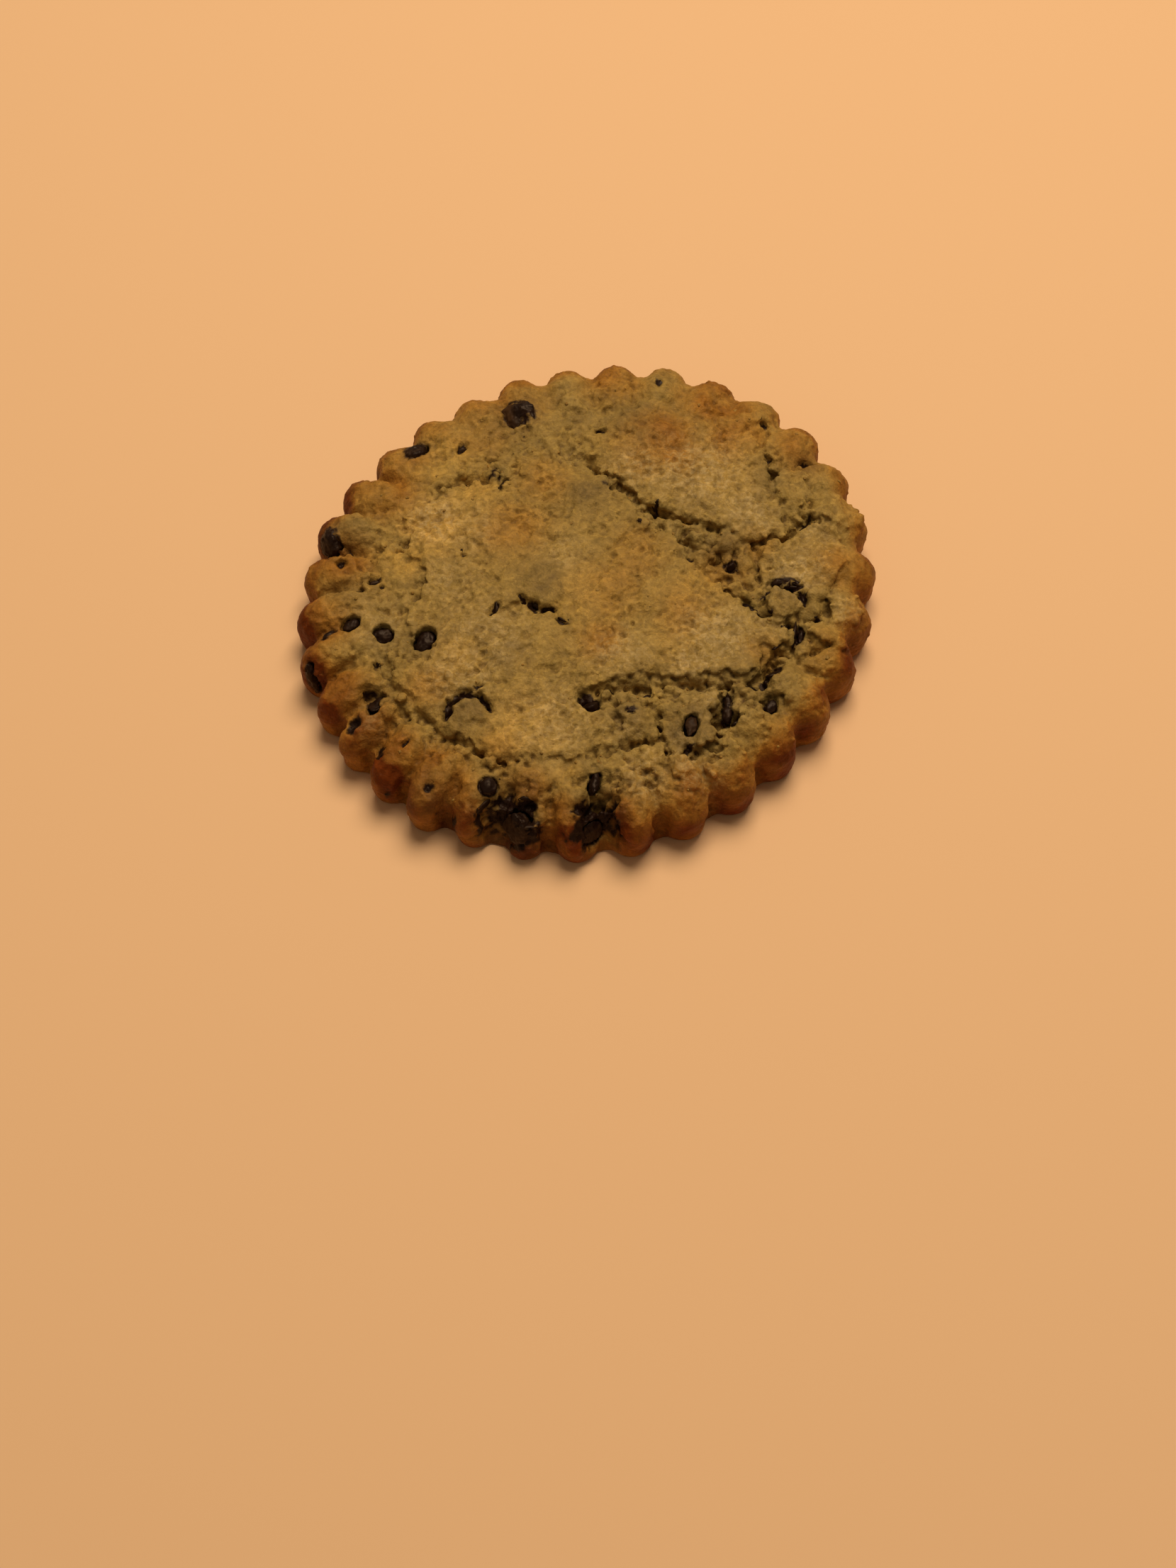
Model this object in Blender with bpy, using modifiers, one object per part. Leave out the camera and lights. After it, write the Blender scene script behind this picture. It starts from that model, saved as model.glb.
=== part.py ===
"""Round chocolate chip cookie with a fluted edge: one baked dough body and the chips that show in it.

Sizes are in millimetres in this file and turned to metres where Blender needs them. X runs to the
right, Y to the back and Z up. The cookie lies flat, and its origin is under the middle of its box.
"""

import math

import bmesh
import bpy
import numpy as np
from mathutils import Matrix, Vector, noise
from mathutils.bvhtree import BVHTree

MM = 0.001

# Driving dimensions of the body
NOTCH_RADIUS = 44.1       # mean radius at the notches between two flutes
FLUTES = 32
FLUTE_BULGE = 2.3         # how far a flute's tip stands out past its notches
FLUTE_REACH = 7.2         # half the length of a flute's dome, measured along the radius
FLUTE_TOP = 10.6          # top of the domes at the edge
FLUTE_FOOT = -2.4         # where the domes would end below, had the tray not flattened them
FLUTE_SQUARENESS = 2.7    # 2 would be a round dome, and more gives it steeper sides
FLUTE_TILT = math.radians(4)
EDGE_HEIGHT = 9.4         # drum height at the edge, which shows between the domes
EDGE_INSET = 0.3          # the drum stays this far inside the notches
SHOULDER = 3.8            # rounding of the drum's top edge
CROWN = 1.5               # how much higher the middle is than the edge
CROWN_POWER = 2.6         # more keeps the middle flatter and falls faster near the edge
FLUTE_OVERLAP = 0.55      # half width of a flute as a share of the way between its notches
FLUTE_UNEVEN = 0.5        # how much the tops of the flutes differ
UNDERCUT = 1.0            # depth below the base plane that is trimmed away to leave it flat

# The cutter's circle came out a little oval, and the flutes a little uneven
OVAL, OVAL_AXIS = 0.051, math.radians(45.5)
EGG, EGG_AXIS = 0.0085, math.radians(46.9)
FIRST_NOTCH = math.radians(133.1)
CROWD, CROWD_AXIS = 0.068, math.radians(109)
PINCH, PINCH_AXIS = 0.043, math.radians(7.5)

# Relief of the top
PLATE_RISE = 0.9          # a smooth plate of crust stands this much above the crumb round it
PLATE_EDGE = 0.7          # width of the broken edge of a plate
PLATE_RAGGED = 1.2        # how far that edge wanders
CRUMB_RELIEF = 0.42       # height of the crumb between the plates
CRUST_RELIEF = 0.13       # height of the grain on the plates
COVERED_RISE = 0.8        # swelling over a chip that is still under the dough
SIDE_RELIEF = 0.35        # unevenness of the sides of the flutes
RAGGED_SIZES = 4.0, 1.8   # sizes of the large and the small bays in a plate's edge
GRAIN_SIZES = 3.6, 1.9    # sizes of the large and the small lumps of the crumb
SIDE_SIZE = 3.0           # size of the lumps on the sides
TOP_FACING = 0.05, 0.75   # upward parts of a normal at which the top's relief starts and is full
SIDE_START = 2.0          # the sides' relief fades out below this height

# Meshing
VOXEL = 0.85
BODY_TRIANGLES = 7200
CHIP_GAP = 0.32           # clearance between a chip and its pocket
CHIP_WAIST = 0.25         # a chip is widest this far below the dough round it
CHIP_LUMPS = 0.1          # unevenness of a chip, as a share of its size
CHIP_SIDES, CHIP_RINGS = 9, 6

# Plates of smooth crust, each as the corners of its outline
PLATES = {
    "main": (
        (-29, 14), (-24, 19), (-14, 18), (-7, 21), (0, 20.5), (5, 17.5), (9, 13), (14, 8.5), (17, 3),
        (21, -0.5), (25, -4.5), (27, -9), (26, -14), (22, -17.5), (12, -18.6), (4, -18.6), (-2, -20),
        (-12, -19.5), (-22, -18.5), (-23, -10), (-20, -6), (-25.5, -3), (-28, 5),
    ),
    "back_right": (
        (6, 21.5), (9, 28), (18, 28), (28.5, 25), (30, 17), (31, 11.5), (27, 8), (21, 10), (14, 12.8),
        (9, 16.5),
    ),
    "right": ((27, -1), (28, 6), (32, 9), (38, 10.5), (39.5, 4), (38, -1.5), (33, -1.8)),
    "front": (
        (-14.5, -22), (-3, -21.5), (3, -24), (5, -30), (-1, -33), (-9, -31.8), (-14, -33), (-19, -29.5),
    ),
}

# Cracks in the crust: depth, width, then the points that each one runs through
CRACKS = (
    (1.5, 1.5, ((0, 22), (4.6, 18.9), (8, 15.7), (10.7, 13.4), (13.4, 12.1), (18, 11.4), (21.2, 9.6))),
    (1.3, 2.2, ((15, 8), (21.2, 4.5), (17.3, 1.8), (19.4, -0.7), (24.8, -4), (28.5, -6.9))),
    (1.3, 1.0, ((35.9, 14.6), (35.3, 11.3), (31.6, 8.2), (26.9, 7.1), (27, 0), (30.5, -1.6))),
    (0.8, 0.9, ((29.4, 24.5), (30.1, 18.6), (31.5, 12))),
    (1.4, 1.2, ((-32, -17), (-27.9, -23.7), (-22.5, -28.4), (-19.6, -30.5), (-14.3, -34.1), (-8.9, -32.5))),
    (1.4, 1.3, ((-2.5, -21.5), (5.1, -19.8), (19.8, -20), (24, -18), (28.5, -16), (31.5, -12.3), (33.2, -8))),
    (0.9, 0.9, ((-26, -3), (-20, -5.5), (-15, -7), (-9.6, -5.3), (-5.4, -6.8), (-3, -9.3))),
    (0.8, 0.8, ((11.4, -25.5), (11, -29.8), (12.1, -32.6), (15.4, -31.8), (19.5, -27))),
    (0.8, 0.8, ((-13.4, 21.2), (-14, 18), (-20, 19), (-29, 13.5), (-28, 5))),
)

# Chips still under the dough: place, and radius of the swelling
COVERED = (
    (0, 15.7, 3.2), (8, 31.1, 4.5), (-7.1, -2, 3.4), (6, -26, 3.0), (15.5, -28, 3.8), (-18.6, -25.6, 3.4),
    (30.7, -4.6, 3.0), (-13, -15.1, 2.2), (28, -21, 3.0), (-36.5, -1.5, 3.2),
)

# Hollows that melted chocolate left between two flutes: place, height, radius and depth
HOLLOWS = ((-12.0, -44.0, 7.0, 4.0, 1.6), (0.9, -44.5, 6.5, 3.3, 2.0), (-33.8, -25.5, 8.5, 2.4, 1.0))

# Chips that show: place, height to look for the surface at, length, width, depth under the surface,
# heading in degrees, bend, how far the chip stands proud, and how deep the dough dips round it
CHIPS = (
    (-12.3, 32.8, 11, 6.3, 5.8, 3.2, 20, 0, 0.5, 0.5),
    (-28.6, 25.8, 9, 4.6, 3.9, 2.8, 60, 0, 0.7, 0.2),
    (-41.2, 8.8, 8, 5.2, 4.6, 3.0, 75, 0, 1.0, 0.0),
    (-13.5, 21.0, 12, 2.8, 1.9, 1.8, 65, 0, 0.1, 0.9),
    (-37.6, -8.1, 9, 3.2, 2.2, 1.8, 35, 0, 0.4, 0.4),
    (-40.5, -10.7, 8, 2.8, 1.7, 1.6, 35, 0, 0.4, 0.3),
    (-32.3, -10.9, 11, 3.4, 3.0, 2.0, 10, 0, 0.4, 0.5),
    (-26.1, -11.9, 12, 4.4, 3.2, 2.4, 55, 0, 0.5, 0.5),
    (-44.2, -16.9, 6, 6.4, 2.0, 1.8, 75, 0, 0.5, 0.0),
    (-33.4, -21.8, 10, 3.8, 2.8, 1.8, 70, 0, 0.0, 1.3),
    (-28.1, -27.3, 10, 3.8, 1.6, 1.6, 80, 0, 0.1, 0.9),
    (-19.0, -22.9, 11, 6.6, 1.7, 2.0, -5, 1.9, 0.3, 0.7),
    (-15.2, -37.6, 9, 3.2, 3.0, 2.2, 30, 0, 0.5, 0.4),
    (-11.6, -43.2, 6, 6.6, 5.2, 3.2, 5, 0, 0.4, 0.0),
    (-7.6, -6.2, 12, 4.4, 1.4, 1.6, -15, -0.7, 0.2, 0.7),
    (-0.6, -22.3, 11, 3.2, 2.7, 1.8, 15, 0, 0.0, 1.1),
    (15.6, -27.8, 11, 4.0, 2.2, 2.0, 80, 0, 0.4, 0.2),
    (0.7, -37.0, 9, 4.4, 1.8, 1.8, 80, 0, 0.4, 0.6),
    (0.9, -43.6, 5, 5.0, 4.2, 2.8, 20, 0, 0.2, 0.0),
    (21.1, -23.6, 10, 5.4, 1.7, 1.8, 86, 0, 0.2, 0.8),
    (28.0, -23.4, 9, 3.0, 1.9, 1.8, 70, 0, 0.3, 0.6),
    (28.7, -17.0, 10, 4.0, 3.2, 2.0, 50, 0, 0.2, 0.6),
    (25.9, -5.7, 11, 3.4, 1.4, 1.6, -20, 0, 0.1, 0.7),
    (31.0, -1.6, 11, 5.4, 1.3, 1.6, -12, 1.0, 0.2, 0.6),
    (32.8, -9.8, 10, 4.0, 1.2, 1.6, 85, 0, 0.2, 0.7),
    (21.2, 4.5, 11, 2.5, 2.1, 1.6, 0, 0, 0.0, 0.9),
    (4.6, 18.9, 12, 2.5, 1.9, 1.6, -40, 0, 0.0, 1.0),
)


def outline_radius(angle):
    """Radius of the oval through the notches, in the direction of this angle."""
    oval = OVAL * math.cos(2 * (angle - OVAL_AXIS))
    egg = EGG * math.cos(3 * (angle - EGG_AXIS))
    return NOTCH_RADIUS * (1 + oval + egg)


def notch_angle(number):
    """Angle of a notch, going round clockwise, with the uneven spacing of the flutes."""
    even = FIRST_NOTCH - 2 * math.pi * number / FLUTES
    crowd = CROWD * math.cos(even - CROWD_AXIS)
    pinch = PINCH * math.cos(2 * (even - PINCH_AXIS))
    return even + crowd + pinch


def material(name, colour, roughness):
    made = bpy.data.materials.new(name)
    made.use_nodes = True
    shader = made.node_tree.nodes["Principled BSDF"]
    shader.inputs["Base Color"].default_value = (*colour, 1)
    shader.inputs["Roughness"].default_value = roughness
    shader.inputs["Metallic"].default_value = 0
    return made


def collection(name):
    made = bpy.data.collections.new(name)
    bpy.context.scene.collection.children.link(made)
    return made


def object_from(mesh, name, group):
    made = bpy.data.objects.new(name, mesh)
    group.objects.link(made)
    return made


def points_of(mesh):
    flat = np.empty(len(mesh.vertices) * 3)
    mesh.vertices.foreach_get("co", flat)
    return flat.reshape(-1, 3) / MM


def wander(points, size, seed):
    """Smooth noise from -1 to 1 at each point, with features of about this size."""
    shift = Vector((seed * 17.3, seed * 5.1, seed * 9.7))
    return np.array([noise.noise(Vector(p) / size + shift) for p in points])


def distance_to_path(x, y, path, closed=False):
    """Distance from each point to the nearest stretch of a path through the given corners."""
    ends = list(path[1:]) + ([path[0]] if closed else [])
    nearest = np.full_like(x, np.inf)
    for (x0, y0), (x1, y1) in zip(path, ends):
        dx, dy = x1 - x0, y1 - y0
        along = np.clip(((x - x0) * dx + (y - y0) * dy) / (dx * dx + dy * dy), 0, 1)
        nearest = np.minimum(nearest, np.hypot(x - x0 - along * dx, y - y0 - along * dy))
    return nearest


def inside(x, y, corners):
    """True for the points inside a closed outline."""
    crossings = np.zeros(len(x), bool)
    for (x0, y0), (x1, y1) in zip(corners, corners[1:] + corners[:1]):
        spans = (y0 > y) != (y1 > y)
        crossings ^= spans & (x < x0 + (x1 - x0) * (y - y0) / ((y1 - y0) or 1e-9))
    return crossings


def smooth(value, low, high):
    """0 below low, 1 above high, and a smooth ramp between."""
    ramp = np.clip((value - low) / (high - low), 0, 1)
    return ramp * ramp * (3 - 2 * ramp)


def relief(points):
    """Height to add at each point of the top, for the crown, plates, cracks, crumb and swellings."""
    x, y = points[:, 0], points[:, 1]
    flat = points * (1, 1, 0)
    reach = np.hypot(x, y) / NOTCH_RADIUS
    rise = CROWN * (1 - np.clip(reach, 0, 1) ** CROWN_POWER)
    large, small = RAGGED_SIZES
    ragged_x = x + PLATE_RAGGED * (wander(flat, large, 1) + 0.6 * wander(flat, small, 6))
    ragged_y = y + PLATE_RAGGED * (wander(flat, large, 2) + 0.6 * wander(flat, small, 7))
    on_plate = np.zeros(len(points))
    for corners in PLATES.values():
        edge = distance_to_path(ragged_x, ragged_y, corners, closed=True)
        edge[~inside(ragged_x, ragged_y, corners)] *= -1
        on_plate = np.maximum(on_plate, smooth(edge, -PLATE_EDGE, PLATE_EDGE))
    rise += PLATE_RISE * on_plate
    large, small = GRAIN_SIZES
    grain = wander(points, large, 3) + 0.7 * wander(points, small, 4)
    rise += grain * (CRUMB_RELIEF + (CRUST_RELIEF - CRUMB_RELIEF) * on_plate)
    for depth, width, path in CRACKS:
        off = distance_to_path(ragged_x, ragged_y, path)
        rise -= depth * np.exp(-((off / width) ** 2))
    for cx, cy, radius in COVERED:
        rise += COVERED_RISE * np.exp(-((np.hypot(x - cx, y - cy) / radius) ** 4))
    for cx, cy, _, length, width, _, _, _, _, dip in CHIPS:
        spread = 0.3 * (length + width)
        rise -= dip * np.exp(-((np.hypot(x - cx, y - cy) / spread) ** 4))
    return rise


def drum():
    """The plain round of dough, with a rounded top edge, following the oval through the notches."""
    form = bmesh.new()
    bmesh.ops.create_cone(
        form, cap_ends=True, segments=128, radius1=1, radius2=1, depth=EDGE_HEIGHT + UNDERCUT
    )
    bmesh.ops.translate(form, verts=form.verts, vec=(0, 0, (EDGE_HEIGHT - UNDERCUT) / 2))
    for vert in form.verts:
        radius = outline_radius(math.atan2(vert.co.y, vert.co.x)) - EDGE_INSET
        vert.co.x *= radius
        vert.co.y *= radius
    rim = [e for e in form.edges if all(v.co.z > 1 for v in e.verts)]
    bmesh.ops.bevel(form, geom=rim, offset=SHOULDER, segments=6, profile=0.5, affect="EDGES")
    return form


def add_flutes(form):
    """A dome for each flute, between two notches, tilted a little so that its tip hangs lower."""
    for number in range(FLUTES):
        start, end = notch_angle(number), notch_angle(number + 1)
        angle = (start + end) / 2
        radius = outline_radius(angle)
        half_width = FLUTE_OVERLAP * radius * abs(start - end)
        uneven = noise.noise(Vector((number * 1.7, 3.1, 0)))
        top = FLUTE_TOP + FLUTE_UNEVEN * uneven
        centre = radius + FLUTE_BULGE * (1 + 0.3 * uneven) - FLUTE_REACH
        place = (
            Matrix.Rotation(angle, 4, "Z")
            @ Matrix.Translation((centre, 0, (top + FLUTE_FOOT) / 2))
            @ Matrix.Rotation(FLUTE_TILT, 4, "Y")
            @ Matrix.Diagonal((FLUTE_REACH, half_width, (top - FLUTE_FOOT) / 2, 1))
        )
        dome = bmesh.ops.create_uvsphere(form, u_segments=20, v_segments=14, radius=1)["verts"]
        for vert in dome:
            side = math.hypot(vert.co.x, vert.co.y) ** FLUTE_SQUARENESS
            upright = abs(vert.co.z) ** FLUTE_SQUARENESS
            vert.co *= (side + upright) ** (-1 / FLUTE_SQUARENESS)
        bmesh.ops.transform(form, matrix=place, verts=dome)


def apply_modifier(obj, name, kind, **settings):
    """Runs one modifier on an object and keeps its result as the object's mesh."""
    modifier = obj.modifiers.new(name, kind)
    for key, value in settings.items():
        setattr(modifier, key, value)
    bpy.context.view_layer.update()
    graph = bpy.context.evaluated_depsgraph_get()
    obj.data = bpy.data.meshes.new_from_object(obj.evaluated_get(graph))
    obj.modifiers.clear()


def body(group):
    """The baked dough: drum and flutes made one, with its relief, trimmed flat underneath."""
    form = drum()
    add_flutes(form)
    bmesh.ops.scale(form, verts=form.verts, vec=(MM, MM, MM))
    rough = bpy.data.meshes.new("rough_dough")
    form.to_mesh(rough)
    form.free()
    dough = object_from(rough, "dough", group)
    apply_modifier(dough, "one_skin", "REMESH", mode="VOXEL", voxel_size=VOXEL * MM)
    apply_modifier(dough, "soften", "SMOOTH", factor=0.5, iterations=4)

    points = points_of(dough.data)
    normals = np.array([v.normal for v in dough.data.vertices])
    faces_up = smooth(normals[:, 2], *TOP_FACING)
    points[:, 2] += relief(points) * faces_up
    side = (1 - faces_up) * smooth(points[:, 2], 0, SIDE_START)
    outward = SIDE_RELIEF * wander(points, SIDE_SIZE, 5) * side
    for cx, cy, cz, radius, depth in HOLLOWS:
        outward -= depth * np.exp(-((np.linalg.norm(points - (cx, cy, cz), axis=1) / radius) ** 4))
    points += normals * outward[:, None]
    dough.data.vertices.foreach_set("co", (points * MM).ravel())
    dough.data.update()

    apply_modifier(dough, "fewer_faces", "DECIMATE", ratio=BODY_TRIANGLES / (2 * len(dough.data.polygons)))
    trim_flat(dough.data)
    return dough


def trim_flat(mesh):
    """Cuts everything below the base plane away and closes it with a flat face."""
    form = bmesh.new()
    form.from_mesh(mesh)
    everything = form.verts[:] + form.edges[:] + form.faces[:]
    cut = bmesh.ops.bisect_plane(
        form, geom=everything, plane_co=(0, 0, 0), plane_no=(0, 0, 1), clear_inner=True
    )
    rim = [e for e in cut["geom_cut"] if isinstance(e, bmesh.types.BMEdge)]
    bmesh.ops.contextual_create(form, geom=rim)
    bmesh.ops.recalc_face_normals(form, faces=form.faces)
    form.to_mesh(mesh)
    form.free()


def chip_mesh(number, size, bend, proud, grow=0.0):
    """A melted chip lying along X and bent in its own plane: flat above its waist and full below it."""
    length, width, depth = size
    form = bmesh.new()
    bmesh.ops.create_uvsphere(form, u_segments=CHIP_SIDES, v_segments=CHIP_RINGS, radius=1)
    for vert in form.verts:
        lump = 1 + CHIP_LUMPS * noise.noise(vert.co * 1.4 + Vector((number * 3.7, 0, 0)))
        tall = proud + CHIP_WAIST if vert.co.z > 0 else depth
        half = (length / 2 * lump + grow, width / 2 * lump + grow, tall * lump + grow)
        vert.co = Vector(a * b for a, b in zip(vert.co, half))
        vert.co.y += bend * (1 - (2 * vert.co.x / length) ** 2)
    bmesh.ops.scale(form, verts=form.verts, vec=(MM, MM, MM))
    made = bpy.data.meshes.new("chip")
    form.to_mesh(made)
    form.free()
    return made


def seat_chips(dough, chips, cutters):
    """Sets each chip into the surface of the dough, with a cutter a little larger for its pocket."""
    form = bmesh.new()
    form.from_mesh(dough.data)
    surface = BVHTree.FromBMesh(form)
    form.free()
    for number, row in enumerate(CHIPS, 1):
        x, y, z, length, width, depth, heading, bend, proud, _ = row
        size = (length, width, depth)
        spot, normal, _, _ = surface.find_nearest(Vector((x, y, z)) * MM)
        lean = Vector((0, 0, 1)).rotation_difference(normal).to_matrix().to_4x4()
        turn = Matrix.Rotation(math.radians(heading), 4, "Z")
        place = Matrix.Translation(spot - normal * CHIP_WAIST * MM) @ lean @ turn
        chip = object_from(chip_mesh(number, size, bend, proud), f"chip_{number:02d}", chips)
        chip.matrix_world = place
        pocket = object_from(chip_mesh(number, size, bend, proud, CHIP_GAP), f"pocket_{number:02d}", cutters)
        pocket.matrix_world = place
        pocket.hide_render = True
        pocket.display_type = "WIRE"


def keep_largest(mesh):
    """Drops crumbs that a cut left loose, and keeps the one large body."""
    form = bmesh.new()
    form.from_mesh(mesh)
    left = set(form.verts)
    bodies = []
    while left:
        found, edge = set(), [left.pop()]
        while edge:
            vert = edge.pop()
            found.add(vert)
            near = {e.other_vert(vert) for e in vert.link_edges} & left
            left -= near
            edge.extend(near)
        bodies.append(found)
    bodies.sort(key=len)
    for loose in bodies[:-1]:
        bmesh.ops.delete(form, geom=list(loose), context="VERTS")
    form.to_mesh(mesh)
    form.free()


def cut_pockets(dough, cutters):
    """Cuts every chip's pocket out of the dough in one go."""
    apply_modifier(
        dough, "pockets", "BOOLEAN", operation="DIFFERENCE", operand_type="COLLECTION", collection=cutters
    )
    keep_largest(dough.data)


def centring(dough):
    """The move that puts the middle of the dough's box over the origin."""
    points = points_of(dough.data)
    middle = (points.min(axis=0) + points.max(axis=0)) / 2
    return Vector((-middle[0], -middle[1], 0)) * MM


def main():
    for old in list(bpy.data.objects):
        bpy.data.objects.remove(old)
    cookie = collection("chocolate_chip_cookie")
    cutters = collection("chip_pockets")
    dough = body(cookie)
    seat_chips(dough, cookie, cutters)
    cut_pockets(dough, cutters)

    baked = material("baked_dough", (0.27, 0.13, 0.035), 0.75)
    chocolate = material("dark_chocolate", (0.028, 0.012, 0.006), 0.4)
    shift = centring(dough)
    for obj in cookie.objects:
        obj.location += shift
        obj.data.materials.append(baked if obj == dough else chocolate)
        obj.data.shade_smooth()
    for pocket in cutters.objects:
        pocket.location += shift


main()
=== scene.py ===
"""Looks of a round chocolate chip cookie with a fluted edge: baked dough, chips, slivers and crumbs.

Sizes and places are in millimetres, and MM turns them to metres where Blender needs them. X runs to
the right, Y to the back and Z up, from the middle of the underside.
"""

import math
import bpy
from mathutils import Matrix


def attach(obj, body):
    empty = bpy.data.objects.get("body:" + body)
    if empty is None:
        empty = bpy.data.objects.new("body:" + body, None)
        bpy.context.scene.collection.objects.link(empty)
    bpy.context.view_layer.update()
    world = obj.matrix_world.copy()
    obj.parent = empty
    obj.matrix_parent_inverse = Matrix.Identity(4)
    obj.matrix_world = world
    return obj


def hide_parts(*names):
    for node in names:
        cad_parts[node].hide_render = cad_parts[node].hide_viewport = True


bl_info = {
    "name": "Chocolate chip cookie",
    "version": (1, 0, 0),
    "blender": (4, 5, 0),
    "location": "View3D > Sidebar > Cookie",
    "description": "Builds a fluted chocolate chip cookie round its solid model",
    "category": "Add Mesh",
}

import bmesh
import bpy
import numpy as np
from bpy.props import FloatProperty, FloatVectorProperty, IntProperty, PointerProperty
from mathutils import Matrix, Vector, noise
from mathutils.bvhtree import BVHTree

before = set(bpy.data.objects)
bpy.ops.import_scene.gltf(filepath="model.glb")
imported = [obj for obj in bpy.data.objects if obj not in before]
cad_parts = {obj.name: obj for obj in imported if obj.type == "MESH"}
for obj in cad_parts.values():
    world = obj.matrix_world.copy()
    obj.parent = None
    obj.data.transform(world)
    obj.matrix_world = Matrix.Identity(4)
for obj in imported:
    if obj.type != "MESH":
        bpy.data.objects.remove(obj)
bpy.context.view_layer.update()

MM = 0.001
CHIP_NODES = sorted(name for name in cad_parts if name.startswith("chip_"))

# The solid's own sizes, which the fine dough repeats
FLUTES = 32
FLUTE_REACH = 7.2         # half the length of a flute's dome, measured along the radius
FLUTE_TOP = 10.6
FLUTE_FOOT = -2.4
FLUTE_SQUARENESS = 2.7
FLUTE_TILT = math.radians(4)
FLUTE_OVERLAP = 0.55
FLUTE_UNEVEN = 0.5
EDGE_HEIGHT = 9.8
EDGE_INSET = 0.3
SHOULDER = 2.9
CROWN_POWER = 2.6
OVAL, OVAL_AXIS = 0.051, math.radians(45.5)
EGG, EGG_AXIS = 0.0085, math.radians(46.9)
FIRST_NOTCH = math.radians(133.1)
CROWD, CROWD_AXIS = 0.068, math.radians(109)
PINCH, PINCH_AXIS = 0.043, math.radians(7.5)
CREASE_LENGTH = 8.0       # how far the crease between two flutes runs in from the edge
CREASE_WIDTH = 0.9
CREASE_DEPTH = 2.0
CREASED_SIDE = math.radians(225)
CREST, CREST_PRESSED = 11.9, 0.5  # what rises above this height is pressed down by this share
PLATE_RAGGED = 1.15
RAGGED_SIZES = 4.0, 1.8

# Stage: half the floor's side and the lights in metres, the point that the camera aims at in mm
FLOOR_HALF = 3.0
KEY_PLACE, KEY_SIZE = (0.10, 0.29, 0.78), 0.5
FILL_PLACE, FILL_SIZE = (-0.5, -0.6, 0.6), 0.8
WARM_LIGHT = 1.0, 0.94, 0.84
ROOM_COLOUR, ROOM_STRENGTH = (1, 0.9, 0.76), 0.14
AIM = -0.1, -31.7, 0

# Plates of smooth crust, each as the corners of its outline
PLATES = (
    (
        (-28.5, 5), (-29.5, 12), (-26, 15), (-22, 17), (-17, 19), (-13, 19), (-11, 22), (-6, 22.5),
        (-1, 20.5), (4, 18), (8, 13.5), (9.5, 10.5), (14, 8), (16, 4), (18.5, 0.5), (20.5, -1.5),
        (23.5, -4.4), (27, -6.5), (30.5, -8.5), (31.2, -11.5), (28.8, -13.8), (26.8, -12.8), (26.3, -16),
        (24.5, -18.6), (21.5, -17.3), (17, -18.6), (12, -19), (8, -18.2), (4, -19.6), (0.5, -20.7),
        (1.5, -24), (4, -27), (2.5, -31), (-3, -33.5), (-9, -32.3), (-14, -33.5), (-19, -30),
        (-24, -27.5), (-28, -24), (-31.5, -20), (-30, -16), (-25, -16), (-24, -13), (-29, -9), (-28, -5),
        (-25.5, -1),
    ),
    (
        (-3, 22), (4.5, 20.8), (8.3, 16.4), (10, 14.4), (14, 13.6), (18, 11.9), (21.5, 10), (26, 7.3),
        (31.5, 8.6), (31, 12), (30.4, 16), (29.5, 20), (29, 24), (27, 28), (20, 31), (12, 30), (7, 29),
        (1, 25.5),
    ),
    (
        (32.2, 10.3), (35, 10.9), (40, 10), (40.6, 6), (40, 1), (38.2, -2.2), (36, -4.2), (34, -3.6),
        (33, -1.8), (30, -1.2), (27, -1.5), (27.2, 2), (28.2, 5), (30.5, 7.2),
    ),
    ((35.4, 13), (36, 16), (36.2, 19), (40, 17.8), (43, 15), (44, 11.4), (41, 11), (37.4, 12)),
    ((31, 14.6), (30.8, 19), (32, 23), (35, 22), (35.4, 17), (34.8, 14), (33, 13)),
    (
        (34.5, -8.8), (38.5, -7.5), (38.6, -3), (41.5, -1.5), (43.3, -6), (43, -11), (40, -12.5),
        (36, -12.2), (34.4, -11),
    ),
    (
        (12, -25.2), (16, -24.4), (19, -26.2), (18.8, -29.8), (16, -31.2), (15, -33), (12.6, -32.4),
        (11.6, -29.5),
    ),
    ((5.4, -25), (8, -24.4), (10.4, -26), (10.6, -29.6), (7, -30.2), (5, -29.4)),
    ((8, -31), (11, -30.4), (12, -33.6), (10, -35), (8, -34.4)),
    ((13, -33.8), (17, -33.4), (19, -35.4), (18.6, -38), (14.6, -37.6), (12.6, -36)),
    ((16, -21.8), (19.8, -21), (20, -24), (17, -25), (15.2, -23.6)),
    ((22, -18.9), (25.4, -18.8), (25, -21.4), (22.6, -21.2)),
    ((30.4, -21.4), (35.6, -20.4), (37.2, -24), (36, -28), (32, -30), (30.6, -27)),
    ((22.4, -26.6), (26, -25.2), (28, -28), (25.6, -33), (20.4, -33), (19.6, -30)),
    ((28.6, -2.6), (33, -2.8), (34, -6), (31, -8), (28.6, -6.4)),
)

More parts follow.
